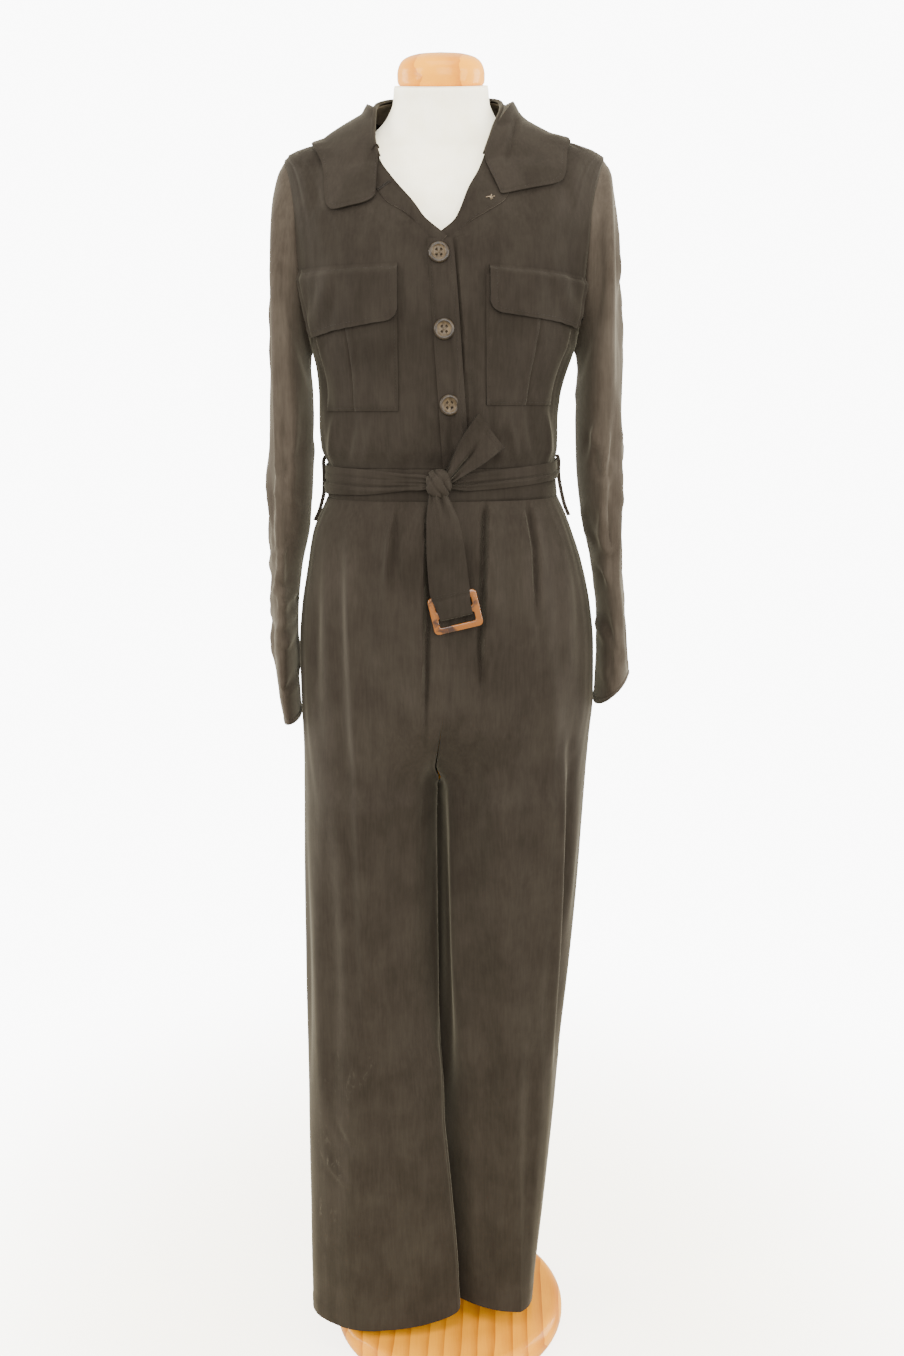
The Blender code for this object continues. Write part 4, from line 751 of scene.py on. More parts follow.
def sheet(name, surface, columns, rows, finish=None, wall=WALL, replaced=(), inside=BODY_AXIS,
          lining=None):
    deselect()
    bpy.ops.mesh.primitive_grid_add(x_subdivisions=columns, y_subdivisions=rows, size=1.0, calc_uvs=True)
    piece = bpy.context.object
    mesh = piece.data
    flat = np.zeros(len(mesh.vertices) * 3)
    mesh.vertices.foreach_get("co", flat)
    shares = np.clip(flat.reshape(-1, 3)[:, :2] + 0.5, 0.0, 1.0)
    places = surface(shares[:, 0], shares[:, 1])
    mesh.vertices.foreach_set("co", places.ravel())

    order = np.lexsort((shares[:, 0].round(5), shares[:, 1].round(5)))
    grid = places[order].reshape(rows + 1, columns + 1, 3)
    widths = np.linalg.norm(np.diff(grid, axis=1), axis=2).sum(axis=1)
    lengths = np.linalg.norm(np.diff(grid, axis=0), axis=2).sum(axis=0)
    width, length = float(widths.max()), float(lengths.max())
    corners = np.array([0.0] * len(mesh.loops) * 2)
    mesh.uv_layers.active.data.foreach_get("uv", corners)
    corners = corners.reshape(-1, 2) * (width, length)
    mesh.uv_layers.active.data.foreach_set("uv", corners.ravel())

    work = bmesh.new()
    work.from_mesh(mesh)
    bmesh.ops.remove_doubles(work, verts=work.verts, dist=1e-6)
    work.normal_update()
    centre = np.array(inside) if inside is not None else places.mean(axis=0)
    facing = 0.0
    for face in work.faces:
        away = np.array(face.calc_center_median()) - centre
        if inside is None or inside[2] == 1.0:
            away[2] = 0.0
        facing += float(np.array(face.normal) @ away) * face.calc_area()
    if facing < 0.0:
        bmesh.ops.reverse_faces(work, faces=work.faces)
    area = sum(face.calc_area() for face in work.faces)
    work.to_mesh(mesh)
    work.free()
    mesh.materials.clear()
    mesh.materials.append(finish or CLOTH)
    mesh.materials.append(lining or UNDERSIDE_PAINTED_DARKER)
    solidify = piece.modifiers.new("wall", "SOLIDIFY")
    # Rims and inner side take the lining, by default the darker copy of the cloth: painted shade along every cut
    # edge.
    solidify.material_offset = solidify.material_offset_rim = 1
    solidify.thickness = wall
    solidify.offset = -1.0
    bpy.ops.object.modifier_apply(modifier=solidify.name)
    finish_piece(piece, name, finish or CLOTH, replaced)
    cut_width, cut_length = [max(round(size * 1.02, 3), 0.01) for size in (width, length)]
    cut_area = round(min(area * 1.04, cut_width * cut_length), 5)
    FLAT_SIZES[name] = (cut_width, cut_length, cut_area)
    print(f"{name}: cut {cut_width:.3f} x {cut_length:.3f} m, {len(mesh.polygons)} faces")
    return piece


# %% [markdown]
# ## Seams and top-stitching
# Sewn edges show as a row of tiny threads a few millimetres inside the edge. One thread is a
# stretched eight-sided grain, repeated along a path that lies on the finished surface.

# %% The stitcher
STITCH_SPACING, STITCH_LENGTH, STITCH_THICKNESS, STITCH_LIFT = 0.0040, 0.0028, 0.00045, 0.00012


def stitches(name, surface, paths, inside=BODY_AXIS):
    """Threads along paths of (across, up) on a finished surface."""
    corners = np.array([(0.5, 0, 0), (-0.5, 0, 0), (0, 0.5, 0), (0, -0.5, 0), (0, 0, 0.5), (0, 0, -0.5)])
    sides = [(0, 2, 4), (2, 1, 4), (1, 3, 4), (3, 0, 4), (2, 0, 5), (1, 2, 5), (3, 1, 5), (0, 3, 5)]
    points, faces = [], []
    for path in paths:
        path = np.array(path, float)
        fine = np.linspace(0.0, len(path) - 1.0, 60 * len(path))
        shares = np.stack([np.interp(fine, range(len(path)), path[:, i]) for i in (0, 1)], -1)
        line = surface(shares[:, 0], shares[:, 1])
        out = outward_normals(surface, shares[:, 0], shares[:, 1], inside, False)
        gone = np.concatenate([[0.0], np.cumsum(np.linalg.norm(np.diff(line, axis=0), axis=1))])
        spots = np.arange(STITCH_SPACING * 0.5, gone[-1], STITCH_SPACING)
        middle = np.stack([np.interp(spots, gone, line[:, i]) for i in range(3)], -1)
        ahead = np.stack([np.interp(spots + 0.0008, gone, line[:, i]) for i in range(3)], -1)
        way = ahead - middle
        way /= np.maximum(np.linalg.norm(way, axis=1, keepdims=True), 1e-9)
        up = np.stack([np.interp(spots, gone, out[:, i]) for i in range(3)], -1)
        up /= np.maximum(np.linalg.norm(up, axis=1, keepdims=True), 1e-9)
        beside = np.cross(up, way)
        for m, w, b, u in zip(middle, way, beside, up):
            first = len(points)
            points.extend(m + u * STITCH_LIFT + w * c[0] * STITCH_LENGTH + b * c[1] * STITCH_THICKNESS * 1.5
                          + u * c[2] * STITCH_THICKNESS for c in corners)
            faces.extend(tuple(first + index for index in side) for side in sides)
    mesh = bpy.data.meshes.new(name)
    mesh.from_pydata([tuple(point) for point in points], [], faces)
    piece = bpy.data.objects.new(name, mesh)
    bpy.context.scene.collection.objects.link(piece)
    work = bmesh.new()
    work.from_mesh(mesh)
    bmesh.ops.recalc_face_normals(work, faces=work.faces)
    work.to_mesh(mesh)
    work.free()
    finish_piece(piece, name, THREAD)
    print(f"{name}: {len(faces) // 8} stitches")
    return piece


def box_path(left, right, low, high, inset_a, inset_u):
    """A path just inside three edges of a patch: down one side, along the bottom, up the other."""
    return [(left + inset_a, high), (left + inset_a, low + inset_u), (right - inset_a, low + inset_u),
            (right - inset_a, high)]


print("stitcher ready")
# %% [markdown]
# ## The dress form
# Only the neck shows, between collar and cap, but the form is whole: a padded torso that narrows
# to the neck and ends flat under the hips. It is one closed loft: rings of the form's table,
# bridged, with a cap at either end. The neck is cut on a slope, lower at the front.

# %% The torso
NECK_TOP, NECK_SLOPE = 1.637, math.radians(14.0)


def loft(name, rings, finish, replaced):
    """Bridges rings of points, from low to high, and closes both ends."""
    deselect()
    mesh = bpy.data.meshes.new(name)
    steps = len(rings[0])
    points = [tuple(point) for ring in rings for point in ring]
    mesh.from_pydata(points, [(r * steps + s, r * steps + (s + 1) % steps)
                              for r in range(len(rings)) for s in range(steps)], [])
    piece = active_object(name, mesh)
    bpy.ops.object.mode_set(mode="EDIT")
    bpy.ops.mesh.select_all(action="SELECT")
    bpy.ops.mesh.bridge_edge_loops()
    bpy.ops.mesh.select_all(action="DESELECT")
    bpy.ops.mesh.select_non_manifold()
    bpy.ops.mesh.edge_face_add()
    bpy.ops.mesh.select_all(action="SELECT")
    bpy.ops.mesh.normals_make_consistent(inside=False)
    bpy.ops.object.mode_set(mode="OBJECT")
    return finish_piece(piece, name, finish, replaced)


levels = np.unique(np.concatenate([FORM.keys, np.linspace(0.935, 1.53, 60), np.linspace(1.53, 1.637, 36)]))
turns = np.arange(72) * 5.0
rings = []
for level in levels:
    row = FORM.at(level)
    x, y = oval(turns, -row.width, row.width, row.front, row.back, 0.0)
    slope = math.tan(NECK_SLOPE) * smoothstep(1.600, NECK_TOP, level)
    rings.append(np.stack([x, y, level + slope * y], -1))
rim = rings[-1]
for inset, drop in ((0.985, -0.0004), (0.90, 0.0)):
    rings.append(rim.mean(axis=0) + (rim - rim.mean(axis=0)) * inset + (0.0, 0.0, drop + 0.0004))
loft("jersey_torso", rings, JERSEY, ("form_torso",))
print("torso rings:", len(rings))

# %% [markdown]
# ## Cap, pole and base
# All three are turned on a lathe, so each is a profile of (radius, height) spun round its axis:
# a mushroom cap with a soft crown, a rod, and a thick disc with a rounded edge and a shallow
# groove under it. The cap is tilted with the neck's slope, about its own foot.

# %% Turned wood
BASE_RADIUS, BASE_HEIGHT = 0.160, 0.035
CAP_RADIUS, CAP_HEIGHT = 0.0510, 0.035


def turned(name, profile, steps, finish, slot, replaced=(), origin=(0.0, 0.0, 0.0), lean=0.0):
    """Spins a profile from the axis to the axis, leans it about X and moves it to its place."""
    deselect()
    mesh = bpy.data.meshes.new(name)
    mesh.from_pydata([(radius, 0.0, height) for radius, height in profile],
                     [(i, i + 1) for i in range(len(profile) - 1)], [])
    piece = active_object(name, mesh)
    bpy.ops.object.mode_set(mode="EDIT")
    bpy.ops.mesh.select_all(action="SELECT")
    bpy.ops.mesh.spin(steps=steps, angle=2.0 * math.pi, center=(0, 0, 0), axis=(0, 0, 1))
    bpy.ops.mesh.select_all(action="SELECT")
    bpy.ops.mesh.remove_doubles(threshold=1e-6)
    bpy.ops.mesh.normals_make_consistent(inside=False)
    bpy.ops.object.mode_set(mode="OBJECT")
    piece.location, piece.rotation_euler = origin, (lean, 0.0, 0.0)
    return finish_piece(piece, name, finish, replaced)


def round_over(radius, low, high, edge, steps=10):
    profile = [(0.0, low)]
    for level, sign, order in ((low + edge, -1.0, range(steps + 1)), (high - edge, 1.0, range(steps, -1, -1))):
        profile += [(radius - edge + edge * math.cos(0.5 * math.pi * (1 - s / steps)),
                     level + sign * edge * math.sin(0.5 * math.pi * (1 - s / steps))) for s in order]
    return profile + [(0.0, high)]


turned("wooden_base", round_over(BASE_RADIUS, 0.0, BASE_HEIGHT, BASE_HEIGHT * 0.45), 128, BASE_WOOD,
       "lacquered_wood", ("stand_base",))
pole_low, pole_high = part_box("stand_pole")
turned("wooden_pole", round_over(0.0115, pole_low[2], pole_high[2], 0.001, 3), 40, BASE_WOOD,
       "lacquered_wood", ("stand_pole",))
crown = Table("along radius height", (0.0, 0.95, 0.0), (0.06, 0.99, 0.07), (0.14, 1.0, 0.20), (0.24, 1.0, 0.33),
              (0.36, 0.975, 0.52), (0.50, 0.90, 0.72), (0.66, 0.74, 0.87), (0.84, 0.40, 0.975), (1.0, 0.0, 1.0))
profile = [(0.0, 0.0)] + [(float(crown.at(t).radius) * CAP_RADIUS, float(crown.at(t).height) * CAP_HEIGHT)
                          for t in np.linspace(0.0, 1.0, 33)]
lean = NECK_SLOPE
turned("wooden_cap", profile, 96, CAP_WOOD, "lacquered_wood", ("neck_cap",),
       (0.0, -math.sin(lean) * GAP, NECK_TOP + GAP * 2.0), lean)
print("turned:", [name for name in PIECES if name.startswith("wooden")])

# %% [markdown]
# ## Trouser legs
# Each leg is a front and a back, sewn down the outside and the inside. The fronts have two
# pleats each: on the wearer's left they stay pressed as sharp laps, on the right they have
# fallen open into soft ridges. The fly's edge is a deep line from the waist to the crotch, the
# centre seam shows beside it lower down, and the legs hang in long, broad folds. Hems are turned
# up by about 25 mm.

# %% Folds of the trousers
HEM_TURN = 0.024
HEM_RISE = 0.012         # the right hem is higher at its outer end
SEAM_REACH = 0.0045      # how far a seam pulls the cloth in
FRONT_RIGHT_FOLDS = (
    (-0.1125, 1.135, -0.1110, 1.010, -0.1070, 0.830, 0.0075, 0.0030),
    (-0.1070, 0.930, -0.1040, 0.690, -0.1010, 0.470, 0.0085, 0.0042),
    (-0.0560, 1.150, -0.0640, 1.100, -0.0660, 1.030, 0.0050, 0.0020),
    (-0.0480, 1.160, -0.0520, 1.120, -0.0600, 1.060, 0.0045, -0.0014),
    (-0.0850, 1.150, -0.0870, 1.080, -0.0900, 0.960, 0.0100, -0.0024),
    (-0.1350, 1.120, -0.1420, 1.040, -0.1400, 0.930, 0.0080, 0.0018),
    (-0.1500, 1.060, -0.1600, 0.960, -0.1560, 0.850, 0.0090, -0.0020),
    (-0.0620, 0.950, -0.0560, 0.800, -0.0560, 0.600, 0.0140, -0.0030),
    (-0.0400, 0.860, -0.0420, 0.700, -0.0500, 0.520, 0.0110, 0.0020),
    (-0.0290, 0.870, -0.0420, 0.840, -0.0620, 0.800, 0.0060, -0.0014),
    (-0.1480, 0.780, -0.1450, 0.600, -0.1480, 0.380, 0.0130, -0.0032),
    (-0.1680, 0.700, -0.1660, 0.500, -0.1700, 0.300, 0.0090, 0.0022),
    (-0.0900, 0.520, -0.0860, 0.380, -0.0840, 0.180, 0.0140, -0.0026),
    (-0.0520, 0.460, -0.0460, 0.340, -0.0380, 0.140, 0.0130, 0.0024),
    (-0.1230, 0.430, -0.1250, 0.300, -0.1300, 0.080, 0.0120, 0.0022),
    (-0.1500, 0.360, -0.1330, 0.330, -0.1120, 0.325, 0.0050, -0.0011),
    (-0.1620, 0.300, -0.1450, 0.275, -0.1220, 0.272, 0.0050, 0.0010),
    (-0.0700, 0.300, -0.0660, 0.200, -0.0680, 0.090, 0.0100, -0.0018))
FRONT_LEFT_FOLDS = (
    (0.0750, 1.150, 0.0780, 1.060, 0.0800, 0.930, 0.0100, -0.0016),
    (0.1350, 1.130, 0.1480, 1.040, 0.1500, 0.930, 0.0090, 0.0018),
    (0.0250, 1.110, 0.0220, 1.020, 0.0180, 0.900, 0.0070, -0.0014),
    (0.0300, 0.930, 0.0320, 0.800, 0.0280, 0.640, 0.0130, -0.0022),
    (0.0054, 0.985, 0.0014, 0.920, -0.0020, 0.860, 0.0036, -0.0042),
    (0.0700, 0.920, 0.0700, 0.720, 0.0680, 0.500, 0.0160, 0.0022),
    (0.1080, 0.960, 0.1060, 0.760, 0.1000, 0.520, 0.0150, -0.0024),
    (0.1330, 0.960, 0.1320, 0.760, 0.1280, 0.540, 0.0100, 0.0024),
    (0.0100, 0.720, 0.0110, 0.560, 0.0160, 0.340, 0.0100, 0.0020),
    (0.0480, 0.620, 0.0500, 0.440, 0.0520, 0.220, 0.0140, -0.0024),
    (0.0820, 0.520, 0.0860, 0.340, 0.0800, 0.120, 0.0130, 0.0022),
    (0.1080, 0.460, 0.1040, 0.300, 0.1000, 0.110, 0.0110, -0.0022),
    (0.0300, 0.300, 0.0320, 0.200, 0.0380, 0.080, 0.0100, 0.0018),
    (0.1460, 0.880, 0.1410, 0.640, 0.1360, 0.420, 0.0050, 0.0036),
    (0.1560, 0.860, 0.1490, 0.640, 0.1430, 0.420, 0.0060, -0.0042))
BACK_RIGHT_FOLDS = (
    (-0.0500, 1.120, -0.0620, 1.000, -0.0560, 0.860, 0.0120, 0.0024),
    (-0.1100, 1.130, -0.1200, 1.020, -0.1120, 0.880, 0.0110, -0.0024),
    (-0.0200, 0.870, -0.0520, 0.850, -0.0980, 0.862, 0.0080, -0.0028),
    (-0.0220, 0.840, -0.0600, 0.815, -0.1100, 0.822, 0.0075, 0.0020),
    (-0.0700, 0.780, -0.0740, 0.600, -0.0700, 0.420, 0.0150, -0.0030),
    (-0.1200, 0.760, -0.1240, 0.560, -0.1200, 0.360, 0.0140, 0.0026),
    (-0.0900, 0.400, -0.0960, 0.260, -0.0900, 0.090, 0.0130, -0.0024),
    (-0.1400, 0.400, -0.1420, 0.260, -0.1380, 0.080, 0.0110, 0.0020),
    (-0.0450, 0.380, -0.0400, 0.240, -0.0360, 0.080, 0.0120, 0.0020))
BACK_LEFT_FOLDS = (
    (0.0520, 1.130, 0.0640, 1.000, 0.0580, 0.860, 0.0120, 0.0024),
    (0.1150, 1.120, 0.1230, 1.020, 0.1130, 0.880, 0.0110, -0.0024),
    (0.0180, 0.865, 0.0520, 0.848, 0.1020, 0.866, 0.0080, -0.0028),
    (0.0220, 0.835, 0.0620, 0.812, 0.1140, 0.826, 0.0075, 0.0020),
    (0.0600, 0.780, 0.0640, 0.600, 0.0600, 0.400, 0.0150, -0.0030),
    (0.1060, 0.740, 0.1080, 0.560, 0.1000, 0.340, 0.0140, 0.0026),
    (0.0760, 0.400, 0.0740, 0.260, 0.0700, 0.090, 0.0130, -0.0024),
    (0.0300, 0.420, 0.0280, 0.280, 0.0240, 0.100, 0.0110, 0.0020))
SIDE_FOLDS = (
    (-0.030, 1.060, -0.034, 0.960, -0.026, 0.840, 0.0110, 0.0018),
    (0.034, 1.080, 0.038, 0.980, 0.030, 0.850, 0.0110, -0.0020),
    (-0.040, 0.740, -0.044, 0.560, -0.036, 0.360, 0.0120, -0.0022),
    (0.040, 0.700, 0.046, 0.520, 0.038, 0.340, 0.0120, 0.0022))

# %% The four panels


def lean_together(points):
    """The legs' inner sides lean the same way, one before the other, so no light falls between."""
    z = points[..., 2]
    left, right = LEG_LEFT.at(z), LEG_RIGHT.at(z)
    middle, half = 0.5 * (left.inner + right.inner), 0.5 * np.maximum(left.inner - right.inner, 0.0)
    near = np.exp(-((points[..., 0] - middle) / 0.055) ** 2)
    near = near * smoothstep(CROTCH + 0.05, CROTCH + 0.005, z) * smoothstep(0.32, 0.43, z)
    ahead = points[..., 1] - 0.5 * (left.inner_y + right.inner_y)
    sway = (1.15 * half + 0.0080) * np.sin(math.pi * np.clip(ahead / 0.066, -1.0, 1.0)) * near
    return points - sway[..., None] * (1.0, 0.0, 0.0)


def trouser_surface(side, hip_angles, leg_angles, hem):
    def surface(across, up):
        low = hem + (HEM_RISE * smoothstep(0.45, 1.0, across) if side < 0 else 0.0)
        return lean_together(trouser_point(side, hip_angles, leg_angles, across, low + (TROUSER_TOP - low) * up))
    return surface


def seam_dip(across, width, depth=0.0009):
    """The cloth pulls in a little along both sewn edges of a panel."""
    near = np.minimum(across, 1.0 - across) * width
    return -depth * np.exp(-(near / SEAM_REACH) ** 2)


def hem_roll(z, hem):
    """A turned hem: doubled cloth stands a little proud, with a dip where it is stitched."""
    doubled = 0.0007 * smoothstep(hem + HEM_TURN + 0.002, hem + HEM_TURN - 0.001, z)
    return doubled - 0.0008 * np.exp(-((z - hem - HEM_TURN) / 0.0022) ** 2)


def trouser_height(folds, hem, seed, laps):
    def height(across, up, points):
        z = points[:, 2]
        total = 1.5 * crease_height(points, folds) + crease_height(points, SIDE_FOLDS, SIDE_VIEW)
        total += ripple(across, up, seed, (1.5, 2.5, 4.0), 0.0018) * smoothstep(1.15, 0.90, z)
        total += ripple(across, up, seed + 1, (7.0, 9.0, 12.0), 0.00035)
        for path, depth, reach, side in laps:
            total += lap_height(points, path, depth, reach, side)
        edges = smoothstep(0.0, 0.05, across) * smoothstep(1.0, 0.95, across)
        total *= edges * smoothstep(TROUSER_TOP + 0.002, TROUSER_TOP - 0.02, z)
        risen = hem + HEM_RISE * (hem == HEM_RIGHT) * smoothstep(0.45, 1.0, across)
        return total + seam_dip(across, 0.30, 0.0014) + hem_roll(z, risen)
    return height


LEFT_LAPS = ((((0.0470, 0.900), (0.0450, 0.990), (0.0515, 1.171)), 0.0064, 0.030, 1.0),
             (((0.1130, 1.000), (0.1090, 1.107), (0.0990, 1.163)), 0.0046, 0.024, 1.0))
RIGHT_LAPS = ((((-0.0290, 0.830), (-0.0205, 1.101), (-0.0195, 1.171)), 0.0060, 0.022, -1.0),
              (((-0.0660, 1.060), (-0.0560, 1.150), (-0.0540, 1.163)), 0.0018, 0.018, -1.0))
TROUSERS = (
    ("trousers_front_right", "trouser_front_right", -1, (-90.0, 0.0), (-90.0, 90.0), HEM_RIGHT,
     FRONT_RIGHT_FOLDS, RIGHT_LAPS, RUBBED_CLOTH),
    ("trousers_front_left", "trouser_front_left", 1, (0.0, 90.0), (-90.0, 90.0), HEM_LEFT,
     FRONT_LEFT_FOLDS, LEFT_LAPS, TROUSER_CLOTH),
    ("trousers_back_right", "trouser_back_right", -1, (270.0, 180.0), (270.0, 90.0), HEM_RIGHT,
     BACK_RIGHT_FOLDS, (), TROUSER_CLOTH),
    ("trousers_back_left", "trouser_back_left", 1, (90.0, 180.0), (90.0, 270.0), HEM_LEFT,
     BACK_LEFT_FOLDS, (), TROUSER_CLOTH))
for seed, (name, node, side, hips, legs, hem, folds, laps, finish) in enumerate(TROUSERS):
    inside = (side * 0.085, 0.0, 1.0)
    surface = raised(trouser_surface(side, hips, legs, hem),
                     trouser_height(folds, hem, 20 + 2 * seed, laps), inside=inside)
    sheet(name, surface, 150 if "front" in name else 84, 200, finish, replaced=(node,), inside=inside)
    hem_line = HEM_TURN / (TROUSER_TOP - hem)
    stitches("hem_stitches_" + node[8:], surface, [[(0.01, hem_line), (0.5, hem_line), (0.99, hem_line)]],
             inside=inside)

# %% [markdown]
# ## Bodice
# Two fronts and a back, joined at the shoulders and sides. The fronts blouse a little over the
# belt, so short creases run up from the waist, and faint drag lines come down from the
# shoulders. The back has one shallow fold on each side of its middle.

# %% The bodice panels
FRONT_FOLDS = {
    -1: ((-0.1180, 1.205, -0.1060, 1.235, -0.1020, 1.275, 0.0055, -0.0022),
         (-0.0900, 1.205, -0.0840, 1.230, -0.0800, 1.258, 0.0045, 0.0020),
         (-0.0700, 1.203, -0.0640, 1.232, -0.0640, 1.262, 0.0045, -0.0020),
         (-0.0460, 1.204, -0.0420, 1.240, -0.0440, 1.280, 0.0050, 0.0018),
         (-0.0270, 1.205, -0.0240, 1.260, -0.0260, 1.330, 0.0050, -0.0014),
         (-0.1330, 1.205, -0.1280, 1.235, -0.1260, 1.262, 0.0045, 0.0020),
         (-0.1500, 1.330, -0.1380, 1.300, -0.1300, 1.250, 0.0070, -0.0022),
         (-0.1500, 1.360, -0.1320, 1.390, -0.1180, 1.440, 0.0080, 0.0014),
         (-0.1500, 1.480, -0.1420, 1.510, -0.1480, 1.545, 0.0070, -0.0012)),
    1: ((0.0285, 1.200, 0.0205, 1.330, 0.0123, 1.462, 0.0030, -0.0034),
        (0.1120, 1.205, 0.1010, 1.240, 0.0980, 1.285, 0.0055, -0.0022),
        (0.0870, 1.205, 0.0790, 1.235, 0.0760, 1.262, 0.0045, 0.0018),
        (0.0600, 1.205, 0.0560, 1.240, 0.0560, 1.290, 0.0050, -0.0020),
        (0.0330, 1.205, 0.0330, 1.280, 0.0360, 1.370, 0.0060, -0.0020),
        (0.1250, 1.205, 0.1220, 1.235, 0.1180, 1.268, 0.0045, 0.0020),
        (0.1480, 1.335, 0.1340, 1.300, 0.1240, 1.250, 0.0070, -0.0024),
        (0.1560, 1.365, 0.1360, 1.395, 0.1220, 1.445, 0.0080, 0.0014),
        (0.1480, 1.480, 0.1400, 1.515, 0.1480, 1.548, 0.0070, -0.0012))}
BACK_FOLDS = (
    (-0.0900, 1.205, -0.0780, 1.260, -0.0800, 1.340, 0.0100, -0.0036),
    (0.0860, 1.205, 0.0760, 1.270, 0.0800, 1.350, 0.0100, -0.0036),
    (-0.0450, 1.205, -0.0400, 1.235, -0.0420, 1.275, 0.0060, 0.0022),
    (0.0100, 1.205, 0.0140, 1.240, 0.0080, 1.300, 0.0070, -0.0024),
    (0.0480, 1.205, 0.0430, 1.232, 0.0470, 1.262, 0.0060, 0.0022),
    (-0.1280, 1.210, -0.1220, 1.260, -0.1300, 1.320, 0.0070, 0.0024),
    (0.1240, 1.210, 0.1180, 1.260, 0.1260, 1.320, 0.0070, 0.0024),
    (-0.1500, 1.470, -0.0900, 1.440, -0.0300, 1.452, 0.0110, -0.0016),
    (0.1500, 1.480, 0.0900, 1.455, 0.0300, 1.462, 0.0110, -0.0016),
    (-0.1550, 1.400, -0.1380, 1.440, -0.1380, 1.490, 0.0090, 0.0022),
    (0.1550, 1.400, 0.1380, 1.440, 0.1380, 1.490, 0.0090, 0.0022))
TOP_ROW = SIDE_NECK - 0.0004


def bodice_rows(up):
    return BODICE_BOTTOM + (TOP_ROW - BODICE_BOTTOM) * up


def front_surface(side):
    def surface(across, up):
        z = bodice_rows(up)
        low, high = front_ends(side, z)
        return bodice_point(low + (high - low) * across, z)
    return surface


def blouse(z):
    """The bodice is fuller just above the belt."""
    return 0.0030 * smoothstep(1.203, 1.222, z) * smoothstep(1.300, 1.235, z)


def front_height(side):
    def height(across, up, points):
        z = points[:, 2]
        total = 1.4 * crease_height(points, FRONT_FOLDS[side]) + blouse(z)
        total += ripple(across, up, 40 + side, (2.0, 3.0, 5.0), 0.0010)
        total += ripple(across, up, 50 + side, (9.0, 13.0), 0.00030)
        edges = smoothstep(0.0, 0.06, across) * smoothstep(1.0, 0.94, across)
        return total * edges * smoothstep(TOP_ROW, TOP_ROW - 0.03, z) + seam_dip(across, 0.22, 0.0004)
    return height


def back_height(across, up, points):
    z = points[:, 2]
    total = crease_height(points, BACK_FOLDS) + blouse(z)
    total += ripple(across, up, 60, (2.0, 3.0, 5.0), 0.0012) + ripple(across, up, 61, (11.0, 15.0), 0.00030)
    edges = smoothstep(0.0, 0.04, across) * smoothstep(1.0, 0.96, across)
    return total * edges * smoothstep(TOP_ROW, TOP_ROW - 0.03, z) + seam_dip(across, 0.44)


FRONTS = {side: raised(front_surface(side), front_height(side)) for side in (-1, 1)}
sheet("bodice_front_right", FRONTS[-1], 60, 104, replaced=("front_right",))
sheet("bodice_front_left", FRONTS[1], 60, 104, replaced=("front_left",))
BACK = raised(lambda across, up: back_point(across, bodice_rows(up)), back_height)
sheet("bodice_back", BACK, 110, 104, replaced=("back",))


def on_front(side):
    """A front's finished surface, folds and all, by angle and height."""
    def surface(angle, z):
        low, high = front_ends(side, z)
        return FRONTS[side]((angle - low) / (high - low), (z - BODICE_BOTTOM) / (TOP_ROW - BODICE_BOTTOM))
    return surface


# %% [markdown]
# ## Placket, pockets and flaps
# The placket is a doubled strip down the right front: its free edge lies on the left front and
# casts a line of shadow, and its sewn edge only dips. The patch pockets have a pressed crease
# down the middle and lie under rounded flaps, whose edges are turned and top-stitched.

# %% The placket
PLACKET_LOW, PLACKET_HIGH = BODICE_BOTTOM, PLACKET_TOP


def placket_base(across, up):
    z = PLACKET_LOW + (PLACKET_HIGH - PLACKET_LOW) * up
    x = front_middle(z) + (2.0 * across - 1.0) * PLACKET_HALF
    angle = bodice_angle(x, z)
    return np.where((across > 0.5)[..., None], on_front(1)(angle, z), on_front(-1)(angle, z))


def placket_height(across, up, points):
    edge = 0.0015 * np.exp(-((1.0 - across) / 0.16) ** 2)
    sewn = -(0.0008 + 0.0016 * smoothstep(0.50, 0.62, up)) * np.exp(-(across / 0.09) ** 2)
    puckers = 0.0003 * np.sin(up * 50.0 + 3.0 * np.sin(up * 9.0)) * np.exp(-((across - 0.12) / 0.12) ** 2)
    return edge + sewn + puckers


PLACKET = raised(placket_base, placket_height, LIFT + DOUBLE_WALL)
sheet("button_placket", PLACKET, 18, 90, wall=DOUBLE_WALL, replaced=("placket",))
stitches("placket_stitches", PLACKET, [[(0.12, 0.02), (0.12, 0.98)], [(0.90, 0.02), (0.90, 0.99)]])

# %% The pockets
POCKETS = {-1: SimpleNamespace(name="right", inner=0.050, outer=60.0, low=1.266, high=1.418),
           1: SimpleNamespace(name="left", inner=0.049, outer=60.0, low=1.272, high=1.414)}
FLAPS = {-1: SimpleNamespace(name="right", inner=0.0490, outer=62.5, top=(1.4265, 1.4255), low=(1.3660, 1.3490)),
         1: SimpleNamespace(name="left", inner=0.0530, outer=62.5, top=(1.4250, 1.4150), low=(1.3740, 1.3590))}
FLAP_CORNER, FLAP_WIDTH = 0.011, 0.108


def pocket_surface(side):
    pocket = POCKETS[side]

    def surface(across, up):
        z = pocket.low + (pocket.high - pocket.low) * up
        inner = bodice_angle(np.full_like(z, side * pocket.inner), z)
        return on_front(side)(inner + (side * pocket.outer - inner) * across, z)
    return surface


def pocket_height(across, up, points):
    crease = -0.0012 * np.exp(-((across - 0.5) / 0.012) ** 2) + 0.0006 * np.exp(-((across - 0.46) / 0.03) ** 2)
    near = np.minimum(np.minimum(across, 1.0 - across) * 0.115, up * 0.15)
    sewn = -0.0016 * np.exp(-(near / 0.004) ** 2)
    return crease + sewn + 0.0008 * np.sin(math.pi * np.clip(across, 0, 1)) * np.sin(math.pi * up)


